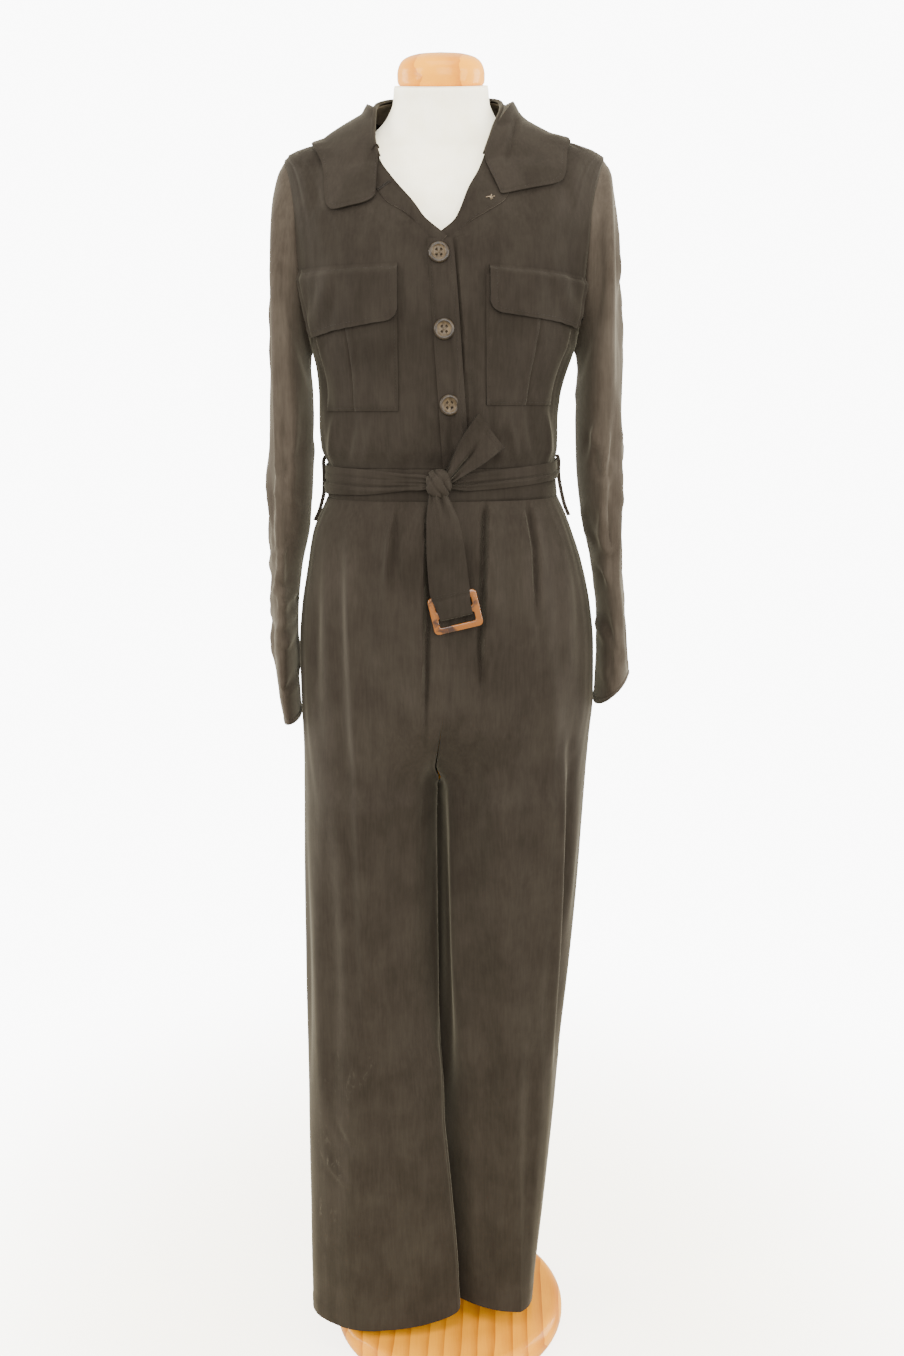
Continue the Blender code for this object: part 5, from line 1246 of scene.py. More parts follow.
def flap_surface(side):
    flap = FLAPS[side]

    def surface(across, up):
        top = flap.top[0] + (flap.top[1] - flap.top[0]) * across
        low = flap.low[0] + (flap.low[1] - flap.low[0]) * across
        away = np.minimum(across, 1.0 - across) * FLAP_WIDTH
        short = np.clip(1.0 - away / FLAP_CORNER, 0.0, 1.0)
        low = low + FLAP_CORNER * (1.0 - np.sqrt(np.maximum(1.0 - short * short, 0.0)))
        z = low + (top - low) * up
        inner = bodice_angle(np.full_like(z, side * flap.inner), z)
        return on_front(side)(inner + (side * flap.outer - inner) * across, z)
    return surface


def flap_height(side):
    def height(across, up, points):
        kick = 0.0016 * (1.0 - up) ** 2
        turned = -0.0006 * np.exp(-((np.minimum(across, 1.0 - across) * FLAP_WIDTH - 0.006) / 0.0016) ** 2)
        wave = 0.0007 * np.sin(across * 7.0 + side) * (1.0 - up)
        return kick + turned + wave - 0.0046 * smoothstep(0.85, 0.97, up)
    return height


for side in (-1, 1):
    cloth = POCKETS[side].name
    pocket = raised(pocket_surface(side), pocket_height, 1.5 * LIFT + WALL)
    sheet("patch_pocket_" + cloth, pocket, 56, 60, replaced=("pocket_" + cloth,))
    stitches("pocket_stitches_" + cloth, pocket, [box_path(0.0, 1.0, 0.0, 0.98, 0.025, 0.022),
                                                  [(0.485, 0.02), (0.485, 0.98)]])
    flap = raised(flap_surface(side), flap_height(side), 2.5 * LIFT + WALL + DOUBLE_WALL)
    sheet("pocket_flap_" + cloth, flap, 64, 26, wall=DOUBLE_WALL, replaced=("flap_" + cloth,))
    round_edge = [(0.05, 0.97), (0.05, 0.22), (0.09, 0.10), (0.16, 0.08),
                  (0.84, 0.08), (0.91, 0.10), (0.95, 0.22), (0.95, 0.97)]
    stitches("flap_stitches_" + cloth, flap, [round_edge, [(0.03, 0.93), (0.97, 0.93)]])
# %% [markdown]
# ## Sleeves
# A sleeve is one closed tube, set into an upright oval armhole. Empty sleeves hang flat: a long
# edge runs down the front, and the forearm crumples into many short creases. The cuffs are only
# turned hems, 12 mm deep, with no band and no button.

# %% The two sleeves
CUFF_TURN = 0.012
SLEEVE_LENGTH = 0.66
SLEEVE_FOLDS = {
    -1: ((-0.1960, 1.540, -0.1950, 1.240, -0.1990, 0.930, 0.0050, 0.0030),
         (-0.1800, 1.520, -0.1820, 1.440, -0.1800, 1.340, 0.0070, -0.0020),
         (-0.2050, 1.440, -0.2040, 1.280, -0.2080, 1.120, 0.0040, -0.0014),
         (-0.1720, 1.300, -0.1780, 1.220, -0.1850, 1.140, 0.0050, 0.0020),
         (-0.1700, 1.230, -0.1850, 1.200, -0.2050, 1.190, 0.0050, -0.0016),
         (-0.1740, 1.150, -0.1860, 1.165, -0.2080, 1.175, 0.0045, 0.0014),
         (-0.1850, 1.080, -0.1940, 1.060, -0.2100, 1.065, 0.0045, -0.0014),
         (-0.1880, 1.000, -0.1960, 0.985, -0.2120, 0.990, 0.0040, 0.0012),
         (-0.1880, 0.950, -0.1950, 0.930, -0.2080, 0.925, 0.0040, -0.0014)),
    1: ((0.1950, 1.540, 0.1930, 1.460, 0.1960, 1.300, 0.0050, 0.0028),
        (0.1780, 1.500, 0.1800, 1.420, 0.1780, 1.330, 0.0070, -0.0020),
        (0.2060, 1.460, 0.2070, 1.360, 0.2060, 1.260, 0.0040, -0.0014),
        (0.2070, 1.290, 0.2120, 1.180, 0.2120, 1.070, 0.0040, 0.0030),
        (0.1990, 1.250, 0.1980, 1.160, 0.2020, 1.080, 0.0045, -0.0026),
        (0.2180, 1.200, 0.2160, 1.120, 0.2200, 1.030, 0.0035, -0.0022),
        (0.1760, 1.230, 0.1860, 1.190, 0.2060, 1.200, 0.0045, -0.0016),
        (0.1850, 1.130, 0.1960, 1.100, 0.2100, 1.110, 0.0045, 0.0016),
        (0.2080, 1.080, 0.2160, 1.010, 0.2220, 0.950, 0.0040, 0.0026),
        (0.1960, 1.040, 0.2030, 0.980, 0.2060, 0.930, 0.0040, -0.0020))}
SLEEVE_TABLES = {-1: SLEEVE_RIGHT, 1: SLEEVE_LEFT}


def sleeve_surface(side):
    """Across is the turn: 0 is the outer side, 0.25 the front. Up is the share down the arm."""
    table = SLEEVE_TABLES[side]

    def ring_point(turn, ring):
        row = table.at(ring)
        cosine, sine = np.cos(2.0 * math.pi * turn), np.sin(2.0 * math.pi * turn)
        x = 0.5 * (row.outer + row.inner) + 0.5 * (row.outer - row.inner) * cosine
        z = 0.5 * (row.outer_z + row.inner_z) + 0.5 * (row.outer_z - row.inner_z) * cosine
        return np.stack([x, np.where(sine > 0.0, row.front, -row.back) * sine, z], -1)

    def armhole_point(turn):
        z = ring_point(turn, np.zeros_like(turn))[..., 2]
        to_front = np.sin(2.0 * math.pi * turn) > 0.0
        angle = np.where(to_front, armhole_edge(z, side, ARMHOLE_FRONT), armhole_edge(z, side, ARMHOLE_BACK))
        point = bodice_point(angle, z)
        point[..., 0] -= side * 0.0020
        return point

    def surface(turn, share):
        ring = share * table.keys[-1]
        fade = (1.0 - smoothstep(0.0, 2.6, ring))[..., None]
        return ring_point(turn, ring) + (armhole_point(turn) - ring_point(turn, np.zeros_like(turn))) * fade
    return surface


def sleeve_height(side):
    small = scattered(70 + side, 26 if side > 0 else 16,
                      (0.176, 0.93, 0.226, 1.27) if side > 0 else (-0.212, 0.92, -0.178, 1.22),
                      0.045, 100.0 if side > 0 else 75.0, 0.0036, 0.0016)
    behind = scattered(80 + side, 22, (0.170, 0.95, 0.222, 1.45) if side > 0 else (-0.216, 0.95, -0.170, 1.45),
                       0.060, 95.0, 0.0048, 0.0018)
    outer_edge = scattered(90 + side, 26, (-0.055, 0.93, 0.055, 1.45), 0.110, 90.0, 0.0065, 0.0030)

    def height(turn, share, points):
        to_front = smoothstep(-0.012, 0.004, -points[:, 1])
        total = 1.5 * (crease_height(points, SLEEVE_FOLDS[side]) + crease_height(points, small)) * to_front
        total += crease_height(points, behind) * (1.0 - to_front)
        total += crease_height(points, outer_edge, SIDE_VIEW) * smoothstep(0.4, 0.9, np.cos(2 * math.pi * turn))
        total += ripple(turn, share, 65 + side, (1.0, 2.0, 3.0), 0.0012)
        gathers = 0.0011 * np.sin(2 * math.pi * turn * 17.0) * np.exp(-(share / 0.05) ** 2)
        total += gathers * (np.cos(2 * math.pi * turn) > 0.2)
        cuff = (1.0 - share) * SLEEVE_LENGTH
        total *= smoothstep(0.0, 0.06, share)
        total *= 0.45 + 0.55 * smoothstep(0.0, 0.05, cuff)
        roll = 0.0006 * smoothstep(CUFF_TURN + 0.001, CUFF_TURN - 0.001, cuff)
        dip = -0.0009 * np.exp(-((cuff - CUFF_TURN) / 0.0020) ** 2) - 0.0012 * np.exp(-(share / 0.008) ** 2)
        return total + roll + dip
    return height


for side in (-1, 1):
    word = "left" if side > 0 else "right"
    middle = (side * 0.192, 0.0, 1.25)
    surface = raised(sleeve_surface(side), sleeve_height(side), inside=middle, closed=True)
    # The sleeves take the far paler copy of the cloth: painted light.
    sheet("set_in_sleeve_" + word, surface, 84, 160, SLEEVE_CLOTH_PAINTED_LIGHTER, replaced=("sleeve_" + word,),
          inside=middle)
    line = 1.0 - CUFF_TURN / SLEEVE_LENGTH
    stitches("cuff_stitches_" + word, surface, [[(0.0, line), (0.5, line), (1.0, line)]], inside=middle)

# %% [markdown]
# ## Collar
# A shirt collar has two pieces: a stand, sewn along the neckline, and a leaf that rolls over it
# and lies on the shoulders. This one is worn open, so both ends of the stand fall outwards. The
# top button is gone: a few ends of thread are left, and across from them is its buttonhole.

# %% Stand and leaf


def seam_point(place):
    """Where the collar is sewn on: along the fronts' edges and round the back of the neck."""
    side = np.where(place < 0.0, -1.0, 1.0)
    distance = np.abs(place)
    behind = bodice_point(side * (180.0 - 90.0 * np.minimum(distance, 1.0)),
                          SIDE_NECK - BACK_NECK_DROP * np.cos(0.5 * math.pi * np.minimum(distance, 1.0)))
    z = COLLAR.at(place).seam_z
    row = NECKLINE.at(z)
    on_edge = bodice_angle(np.where(side > 0, row.right, row.left), z)
    share = np.clip((distance - 1.0) / 0.2, 0.0, 1.0)
    before = bodice_point(side * 90.0 * (1.0 - share) + on_edge * share, z)
    return np.where((distance <= 1.0)[..., None], behind, before)


def fold_point(place):
    row = COLLAR.at(place)
    return np.stack([row.fold_x, row.fold_y, row.fold_z], -1)


def flat_way(points):
    """The level way out from the neck's axis."""
    way = points * (1.0, 1.0, 0.0)
    return way / np.linalg.norm(way, axis=-1, keepdims=True)


def clear_of_bodice(points, clearance):
    """Moves points that are too near the finished bodice out along the way off it."""
    def share(at):
        row = BODICE.at(at[..., 2])
        wide = at[..., 0] / np.where(at[..., 0] >= 0.0, row.right, -row.left)
        deep = at[..., 1] / np.where(at[..., 1] >= 0.0, row.back, -row.front)
        return (np.abs(wide) ** SQUARE + np.abs(deep) ** SQUARE) ** (1.0 / SQUARE) - 1.0
    for _ in range(4):
        step = 1e-4
        slope = np.stack([share(points + step * axis) - share(points - step * axis) for axis in np.eye(3)], -1)
        slope /= 2.0 * step
        steep = np.linalg.norm(slope, axis=-1)
        near = np.maximum(clearance - share(points) / steep, 0.0) * (points[..., 2] < 1.611)
        points = points + slope / steep[..., None] * near[..., None]
    return points


def stand_surface(across, up):
    place = -5.0 + 10.0 * across
    seam, fold = seam_point(place), fold_point(place)
    distance = np.abs(place)
    point = seam + (fold - seam) * (-0.05 + 1.035 * up)[..., None]
    point = point + flat_way(point) * (0.0010 * np.sin(math.pi * up) + 0.0012 * (1.0 - up) ** 2)[..., None]
    meet = smoothstep(4.2, 5.0, distance)
    point[..., 0] -= np.sign(place) * 0.0100 * meet
    point[..., 1] -= np.where(place < 0.0, 0.0034, 0.0012) * meet
    point[..., 2] -= 0.0085 * smoothstep(3.6, 5.0, distance) + 0.0050 * meet * (1.0 - up)
    return point


ROLL, ROLL_SHARE = 0.0029, 0.13


def leaf_surface(across, down):
    """From inside the stand's top edge, over it in a half circle, and down to the leaf's edge."""
    place = -LEAF_END + 2.0 * LEAF_END * across
    wide, deep = np.where(place < 0.0, 0.16, 0.10), np.where(place < 0.0, 0.14, 0.08)
    to_end = np.clip((np.abs(place) - LEAF_END + wide) / wide, 0.0, 1.0)
    to_edge = np.clip((down - 1.0 + deep) / deep, 0.0, 1.0)
    round_off = np.where((to_end > 0.0) & (to_edge > 0.0),
                         np.maximum(to_end, to_edge) / np.maximum(np.hypot(to_end, to_edge), 1e-6), 1.0)
    place = np.where(to_end > 0.0, np.sign(place) * (LEAF_END - wide + wide * to_end * round_off), place)
    down = np.where(to_edge > 0.0, 1.0 - deep + deep * to_edge * round_off, down)
    drawn_back = np.where(place < 0.0, 1.00, 0.76) * smoothstep(2.0, LEAF_END, np.abs(place)) * np.sign(place)
    soft = np.where(place < 0.0, 0.34, 0.16) * smoothstep(LEAF_END, LEAF_END - 0.5, np.abs(place))
    around = [COLLAR.at(place + soft * step) for step in np.linspace(-1.0, 1.0, 7)]
    edge = bodice_point(sum(row.edge_angle for row in around) / 7, sum(row.edge_z for row in around) / 7)
    fold = fold_point(place - drawn_back)
    out = flat_way(fold)
    start = fold + (0.0, -0.0020, 0.0016) + out * LEAF_OFFSET
    turn = (math.pi * np.clip(1.0 - down / ROLL_SHARE, 0.0, 1.0))[..., None]
    over = start - out * ROLL + out * ROLL * np.cos(turn) + np.array((0.0, 0.0, 1.0)) * ROLL * np.sin(turn)
    fall = np.clip((down - ROLL_SHARE) / (1.0 - ROLL_SHARE), 0.0, 1.0)
    point = start + (edge - start) * fall[..., None]
    end = smoothstep(1.6, LEAF_END, np.abs(place))
    bow, early = np.where(place < 0.0, 0.003, 0.007), np.where(place < 0.0, 0.60, 0.48)
    point[..., 2] -= bow * end * np.abs(np.sin(math.pi * fall ** early)) ** 1.2
    point = point + flat_way(point) * (0.006 * (1.0 - end) * np.sin(math.pi * fall))[..., None]
    point = clear_of_bodice(point, 2.0 * LIFT + DOUBLE_WALL + 0.0022 * (1.0 - fall))
    return np.where((down < ROLL_SHARE)[..., None], over, point)


def stand_height(across, up, points):
    turned = -0.0005 * np.exp(-((up - 0.86) / 0.05) ** 2)
    return turned + ripple(across, up, 33, (6.0, 11.0), 0.0004) * np.sin(math.pi * up)


LEAF_FOLDS = ((0.0850, 1.5960, 0.0815, 1.5700, 0.0710, 1.5300, 0.0030, -0.0022),
              (0.0750, 1.5960, 0.0720, 1.5700, 0.0630, 1.5350, 0.0045, 0.0010))


def leaf_height(across, down, points):
    turned = -0.0006 * np.exp(-((1.0 - down) / 0.055 - 1.0) ** 2 * 8.0)
    soft = ripple(across, down, 31, (3.0, 5.0, 8.0), 0.0009) * smoothstep(0.15, 0.5, down)
    rolled = crease_height(points, LEAF_FOLDS) * smoothstep(ROLL_SHARE, 0.3, down)
    return rolled + soft + turned + 0.0007 * smoothstep(0.8, 1.0, down) * (1.0 + np.sin(across * 31.0)) * 0.5


STAND = raised(stand_surface, stand_height, inside=NECK_AXIS)
LEAF = raised(leaf_surface, leaf_height, inside=LEAF_AXIS)
# The stand's inside takes the much paler copy of the cloth: painted light in the shaded gap by the neck.
sheet("stand_of_collar", STAND, 190, 18, lining=COLLAR_INSIDE_PAINTED_LIGHTER, replaced=("collar_stand",),
      inside=NECK_AXIS)
sheet("leaf_of_collar", LEAF, 170, 44, wall=DOUBLE_WALL, lining=FACING, replaced=("collar_leaf",),
      inside=LEAF_AXIS)
leaf_edge = [(0.012, 0.20), (0.012, 0.93), (0.03, 0.945), (0.97, 0.945), (0.988, 0.93), (0.988, 0.20)]
stitches("collar_stitches", LEAF, [leaf_edge], inside=LEAF_AXIS)
stitches("collar_stand_stitches", STAND, [[(0.01, 0.12), (0.30, 0.12)], [(0.70, 0.12), (0.99, 0.12)]],
         inside=NECK_AXIS)

# %% A worked buttonhole and the ends of thread


def place_on(surface, x, z, inside):
    """The finished point and the way out, where a surface is seen at this x and z from the front."""
    across, up = [grid.ravel() for grid in np.meshgrid(np.linspace(0.02, 0.98, 240), np.linspace(0.05, 0.95, 40))]
    points = surface(across, up)
    off = np.hypot(points[:, 0] - x, points[:, 2] - z) + np.where(points[:, 1] > 0.0, 1.0, 0.0)
    best = int(off.argmin())
    out = outward_normals(surface, across, up, inside, False)[best]
    return Vector(points[best]), Vector(out)


def thread_piece(name, lines, radius, finish):
    """Bent threads as one mesh of thin tubes."""
    deselect()
    curve = bpy.data.curves.new(name, "CURVE")
    curve.dimensions = "3D"
    curve.bevel_depth = radius
    curve.bevel_resolution = 2
    curve.use_fill_caps = True
    for line in lines:
        spline = curve.splines.new("POLY")
        spline.points.add(len(line) - 1)
        for knot, spot in zip(spline.points, line):
            knot.co = (*spot, 1.0)
    active_object(name, curve)
    bpy.ops.object.convert(target="MESH")
    return finish_piece(bpy.context.object, name, finish, angle=60.0)


def frame_of(out):
    """Two directions that lie on a face: across it and up it."""
    beside = Vector((0.0, 0.0, 1.0)).cross(out).normalized()
    return beside, out.cross(beside).normalized()


spot, out = place_on(STAND, 0.0543, 1.4968, NECK_AXIS)
beside, upward = frame_of(out)
draw = np.random.RandomState(5)
lines = []
for _ in range(9):
    turn, reach = draw.uniform(0.0, 6.28), draw.uniform(0.0016, 0.0046)
    way = beside * math.cos(turn) * 1.5 + upward * math.sin(turn) * 0.8
    lines.append([spot + out * 0.0002, spot + out * 0.0014 + way * reach * 0.4,
                  spot + out * 0.0010 + way * reach * 0.8, spot + out * 0.0004 + way * reach])
thread_piece("thread_ends_of_top_button", lines, 0.00028, PALE_THREAD)

spot, out = place_on(STAND, -0.0645, 1.5126, NECK_AXIS)
beside, upward = frame_of(out)
along = (beside * 0.8 + upward * 0.6).normalized()
across_hole = out.cross(along).normalized()
lines = []
for index in range(26):
    share = index / 25 * 2.0 - 1.0
    middle = spot + along * share * 0.0085
    for edge in (-1.0, 1.0):
        start = middle + across_hole * edge * 0.0003
        lines.append([start + out * 0.0001, start + across_hole * edge * 0.0006 + out * 0.0005,
                      start + across_hole * edge * 0.0013 + out * 0.0001])
thread_piece("worked_buttonhole", lines, 0.00026, THREAD)
print("collar details done")

# %% [markdown]
# ## Waistband and belt
# The waistband is a plain strip that the belt nearly hides. The belt is doubled cloth, pulled
# tight, so it folds along its length and narrows towards the knot. Its short end stands up from
# the knot, its long end hangs and carries the buckle.

# %% Waistband and the part round the waist
TUCK = 0.0030            # the seam allowance that lies behind the panels
opening = float(bodice_angle(front_middle(BODICE_BOTTOM), np.array(BODICE_BOTTOM)))


def waistband_surface(across, up):
    z = TROUSER_TOP - TUCK + (BODICE_BOTTOM - TROUSER_TOP + 2.0 * TUCK) * up
    return waist_point(opening + 360.0 * across, z)


def waistband_height(across, up, points):
    behind = smoothstep(0.12, 0.05, np.minimum(up, 1.0 - up))
    return ripple(across, up, 71, (9.0, 17.0, 26.0), 0.0005) - 0.0020 * behind


sheet("waist_band", raised(waistband_surface, waistband_height, inside=WAIST_AXIS), 200, 20,
      replaced=("waistband",), inside=WAIST_AXIS)

BELT = Table("angle  low     high", (7.5, 1.1750, 1.1930), (20.0, 1.1765, 1.1975), (60.0, 1.1830, 1.2045),
             (90.0, 1.1860, 1.2075), (180.0, 1.1720, 1.2040), (270.0, 1.1680, 1.2030), (320.0, 1.1700, 1.2000),
             (345.0, 1.1765, 1.1950))
BELT_ENDS = (2.5, 353.0)


def belt_surface(across, up):
    angle = BELT_ENDS[0] + (BELT_ENDS[1] - BELT_ENDS[0]) * across
    row = BELT.at(np.clip(angle, BELT.keys[0], BELT.keys[-1]))
    pinch = smoothstep(12.0, 3.0, np.minimum(angle, 360.0 - angle))
    low, high = row.low + 0.003 * pinch, row.high - 0.003 * pinch
    return waist_point(angle, low + (high - low) * up)


def belt_height(across, up, points):
    wander = 0.06 * np.sin(across * 11.0) + 0.04 * np.sin(across * 23.0 + 1.0)
    fold = -0.0016 * np.exp(-((up - 0.36 - wander) / 0.06) ** 2)
    fold = fold + 0.0008 * np.exp(-((up - 0.22 - wander) / 0.09) ** 2)
    second = -0.0010 * np.exp(-((up - 0.68 - wander * 0.7) / 0.05) ** 2) * smoothstep(0.55, 0.75, across)
    edges = -0.0009 * (np.abs(2.0 * up - 1.0) ** 6)
    to_knot = np.minimum(across, 1.0 - across)
    gathers = 0.0010 * np.sin(up * 22.0 + across * 40.0) * np.exp(-(to_knot / 0.045) ** 2)
    return fold + second + edges + gathers + 0.0045 * np.exp(-(to_knot / 0.022) ** 2)


BELT_SHEET = raised(belt_surface, belt_height, BELT_LIFT + BELT_WALL, inside=WAIST_AXIS)
sheet("belt_round_waist", BELT_SHEET, 220, 22, wall=BELT_WALL, replaced=("belt",), inside=WAIST_AXIS)

# %% The knot
knot_low, knot_high = (np.array(corner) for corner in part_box("belt_knot"))
deselect()
bpy.ops.mesh.primitive_uv_sphere_add(segments=72, ring_count=48, radius=1.0)
knot = bpy.context.object
half = (knot_high - knot_low) * 0.5
way = np.array([vert.co for vert in knot.data.vertices])
way /= np.linalg.norm(way, axis=1, keepdims=True)
blocky = np.copysign(np.abs(way) ** 0.82, way)
slant = way[:, 0] * 0.80 + way[:, 2] * 0.60
crossing = way[:, 0] * -0.62 + way[:, 2] * 0.78
bulge = 1.0 - 0.16 * np.exp(-((slant - 0.34) / 0.07) ** 2) - 0.13 * np.exp(-((slant + 0.30) / 0.08) ** 2)
bulge -= 0.10 * np.exp(-((crossing - 0.55) / 0.08) ** 2) * (slant < 0.2)
bulge -= 0.05 * np.exp(-((crossing + 0.20) / 0.05) ** 2) * (slant > 0.1)
bulge += 0.010 * np.sin(slant * 15.0 + crossing * 4.0)
places = (knot_low + knot_high) * 0.5 + blocky * half * bulge[:, None] * 1.03
knot.data.vertices.foreach_set("co", places.ravel())
finish_piece(knot, "knot_of_belt", FACING, ("belt_knot",), angle=60.0)
print("knot:", [round(float(size), 4) for size in half * 2.0])

# %% The two ends of the belt
TAIL_UP = Table("along  x       y        z       half", (0.00, 0.0060, -0.1370, 1.1900, 0.0060),
                (0.12, 0.0125, -0.1385, 1.1968, 0.0085), (0.25, 0.0200, -0.1395, 1.2060, 0.0125),
                (0.60, 0.0350, -0.1410, 1.2230, 0.0190), (1.00, 0.0545, -0.1415, 1.2440, 0.0232))


def tail_up_surface(across, along):
    row = TAIL_UP.at(along)
    share = 2.0 * across - 1.0
    skew = 0.006 * along * share
    return np.stack([row.x - 0.772 * row.half * share + skew * 0.6, row.y + 0.0 * share,
                     row.z + 0.635 * row.half * share + skew * 0.7], -1)


def tail_up_height(across, along, points):
    centre = 0.42 + 0.10 * along
    fold = -0.0042 * np.exp(-((across - centre) / 0.050) ** 2) * smoothstep(0.86, 0.30, along)
    ridge = 0.0022 * np.exp(-((across - centre - 0.13) / 0.10) ** 2) * smoothstep(1.0, 0.2, along)
    gathers = 0.0016 * np.cos(across * 17.0) * np.exp(-(along / 0.25) ** 2)
    curl = 0.0030 * (across - 0.5) ** 2 * 4.0 * along
    hem = -0.0005 * np.exp(-((along - 0.90) / 0.012) ** 2)
    return fold + ridge + gathers + curl + hem


FRONT_SIDE = (0.0, 0.0, 1.15)
TAIL_UP_SHEET = raised(tail_up_surface, tail_up_height, inside=FRONT_SIDE)
sheet("belt_end_up", TAIL_UP_SHEET, 34, 60, wall=BELT_WALL, replaced=("belt_tail_up",), inside=FRONT_SIDE)
stitches("belt_end_stitches", TAIL_UP_SHEET, [[(0.06, 0.25), (0.07, 0.955), (0.93, 0.955), (0.94, 0.25)]],
         inside=FRONT_SIDE)

buckle_low, buckle_high = (np.array(corner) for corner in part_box("buckle"))
BUCKLE_CENTRE = (buckle_low + buckle_high) * 0.5
BUCKLE_WIDTH, BUCKLE_HEIGHT, BUCKLE_BAR, BUCKLE_THICK = 0.058, 0.044, 0.0075, 0.0036
BUCKLE_LEAN = math.radians(13.0)
TAIL_WALL = 0.0016
TAIL_DOWN = Table("down  x       y        z       half    tilt",
                  (0.000, -0.0060, -0.1385, 1.1750, 0.0095, 0.0), (0.080, -0.0045, -0.1395, 1.1650, 0.0125, 0.0),
                  (0.250, -0.0005, -0.1402, 1.1400, 0.0190, 0.0), (0.520, 0.0030, -0.1412, 1.1000, 0.0225, 0.4),
                  (0.760, 0.0065, -0.1414, 1.0640, 0.0235, 0.9), (0.880, 0.0105, -0.1412, 1.0450, 0.0205, 1.0))


def tail_path():
    """Middles, half widths and tilts down the long end and round the buckle's middle bar."""
    rows = [TAIL_DOWN.at(t) for t in np.linspace(0.0, 0.88, 60)]
    middles = [np.array([r.x, r.y, r.z]) for r in rows]
    halves = [float(r.half) for r in rows]
    tilts = [float(r.tilt) * BUCKLE_LEAN for r in rows]
    down = np.array([math.sin(BUCKLE_LEAN), 0.0, -math.cos(BUCKLE_LEAN)])
    around, thick = BUCKLE_BAR * 0.5 + 0.0014 + TAIL_WALL, BUCKLE_THICK * 0.5 + 0.0008 + TAIL_WALL
    for step in range(1, 19):
        turn = math.pi * step / 18
        ahead = -math.copysign(abs(math.cos(turn)) ** 0.6, math.cos(turn)) * thick
        middles.append(BUCKLE_CENTRE + np.array([0.0, ahead, 0.0]) + down * abs(math.sin(turn)) ** 0.6 * around)
        halves.append(0.0195)
        tilts.append(BUCKLE_LEAN)
    return np.array(middles), np.array(halves), np.array(tilts)


TAIL_MIDDLES, TAIL_HALVES, TAIL_TILTS = tail_path()
gone = np.concatenate([[0.0], np.cumsum(np.linalg.norm(np.diff(TAIL_MIDDLES, axis=0), axis=1))])
TAIL_SHARES = gone / gone[-1]


def tail_down_surface(across, along):
    middle = np.stack([np.interp(along, TAIL_SHARES, TAIL_MIDDLES[:, i]) for i in range(3)], -1)
    half, tilt = np.interp(along, TAIL_SHARES, TAIL_HALVES), np.interp(along, TAIL_SHARES, TAIL_TILTS)
    side = np.stack([np.cos(tilt), 0.0 * tilt, np.sin(tilt)], -1) * (half * (2.0 * across - 1.0))[..., None]
    return middle + side


def tail_down_height(across, along, points):
    fade = np.exp(-(along / 0.22) ** 2)
    gathers = 0.0022 * np.cos(across * 15.0 + 0.6) * fade
    fold = -0.0016 * np.exp(-((across - 0.30 - 0.25 * along) / 0.05) ** 2) * smoothstep(0.62, 0.15, along)
    soft = 0.0009 * np.sin(across * 5.0 + along * 7.0) * smoothstep(0.86, 0.6, along)
    sewn = -0.0006 * np.exp(-((along - 0.77) / 0.012) ** 2)
    edges = -0.0006 * np.abs(2.0 * across - 1.0) ** 8
    return (gathers + fold + soft + sewn) * smoothstep(0.90, 0.82, along) + edges


TAIL_SHEET = raised(tail_down_surface, tail_down_height, inside=None)
sheet("belt_end_down", TAIL_SHEET, 30, 100, wall=TAIL_WALL, replaced=("belt_tail_down",), inside=None)
stitches("belt_loop_stitches", TAIL_SHEET, [[(0.04, 0.735), (0.96, 0.735)], [(0.04, 0.750), (0.96, 0.750)]],
         inside=FRONT_SIDE)

# %% [markdown]
# ## Buckle, loops and buttons
# The buckle is a two-slot slider cut from a sheet of resin, so it is a plate with rounded corners
# and two openings, softened all round by tumbling. The loops are narrow strips at the side seams.
# Each button is turned: a thick rim, a dished middle and four drilled holes, with thread through.

# %% The buckle


def rounded_frame(half_x, half_z, corner, steps=6):
    """The outline of a rounded rectangle, from its right side upwards."""
    points = []
    for quarter in range(4):
        centre_x = (half_x - corner) * (1, -1, -1, 1)[quarter]
        centre_z = (half_z - corner) * (1, 1, -1, -1)[quarter]
        for step in range(steps + 1):
            turn = 0.5 * math.pi * (quarter + step / steps)
            points.append((centre_x + corner * math.cos(turn), centre_z + corner * math.sin(turn)))
    return points


deselect()
bpy.ops.mesh.primitive_cube_add(size=1.0)
buckle = bpy.context.object
buckle.data.clear_geometry()
outline = rounded_frame(BUCKLE_WIDTH / 2, BUCKLE_HEIGHT / 2, 0.0055)
buckle.data.from_pydata([(x, 0.0, z) for x, z in outline], [], [range(len(outline))])
bpy.ops.object.mode_set(mode="EDIT")
bpy.ops.mesh.select_all(action="SELECT")
bpy.ops.mesh.extrude_region_move(TRANSFORM_OT_translate={"value": (0.0, BUCKLE_THICK, 0.0)})
bpy.ops.mesh.select_all(action="SELECT")
bpy.ops.mesh.normals_make_consistent(inside=False)
bpy.ops.object.mode_set(mode="OBJECT")
slot_height = (BUCKLE_HEIGHT - 3.0 * BUCKLE_BAR) / 2.0
for sign in (-1.0, 1.0):
    deselect()
    slot_outline = rounded_frame(BUCKLE_WIDTH / 2 - BUCKLE_BAR, slot_height / 2, 0.0022, 4)
    level = sign * (slot_height + BUCKLE_BAR) / 2.0
    mesh = bpy.data.meshes.new("slot_cutter")
    count = len(slot_outline)
    mesh.from_pydata([(x, y, z + level) for y in (-0.01, 0.02) for x, z in slot_outline],
                     [], [list(range(count)), list(range(count, 2 * count))]
                     + [(i, (i + 1) % count, count + (i + 1) % count, count + i) for i in range(count)])
    cutter = active_object("slot_cutter", mesh)
    bpy.ops.object.mode_set(mode="EDIT")
    bpy.ops.mesh.select_all(action="SELECT")
    bpy.ops.mesh.normals_make_consistent(inside=False)
    bpy.ops.object.mode_set(mode="OBJECT")
    cut_away(buckle, cutter, "slot")
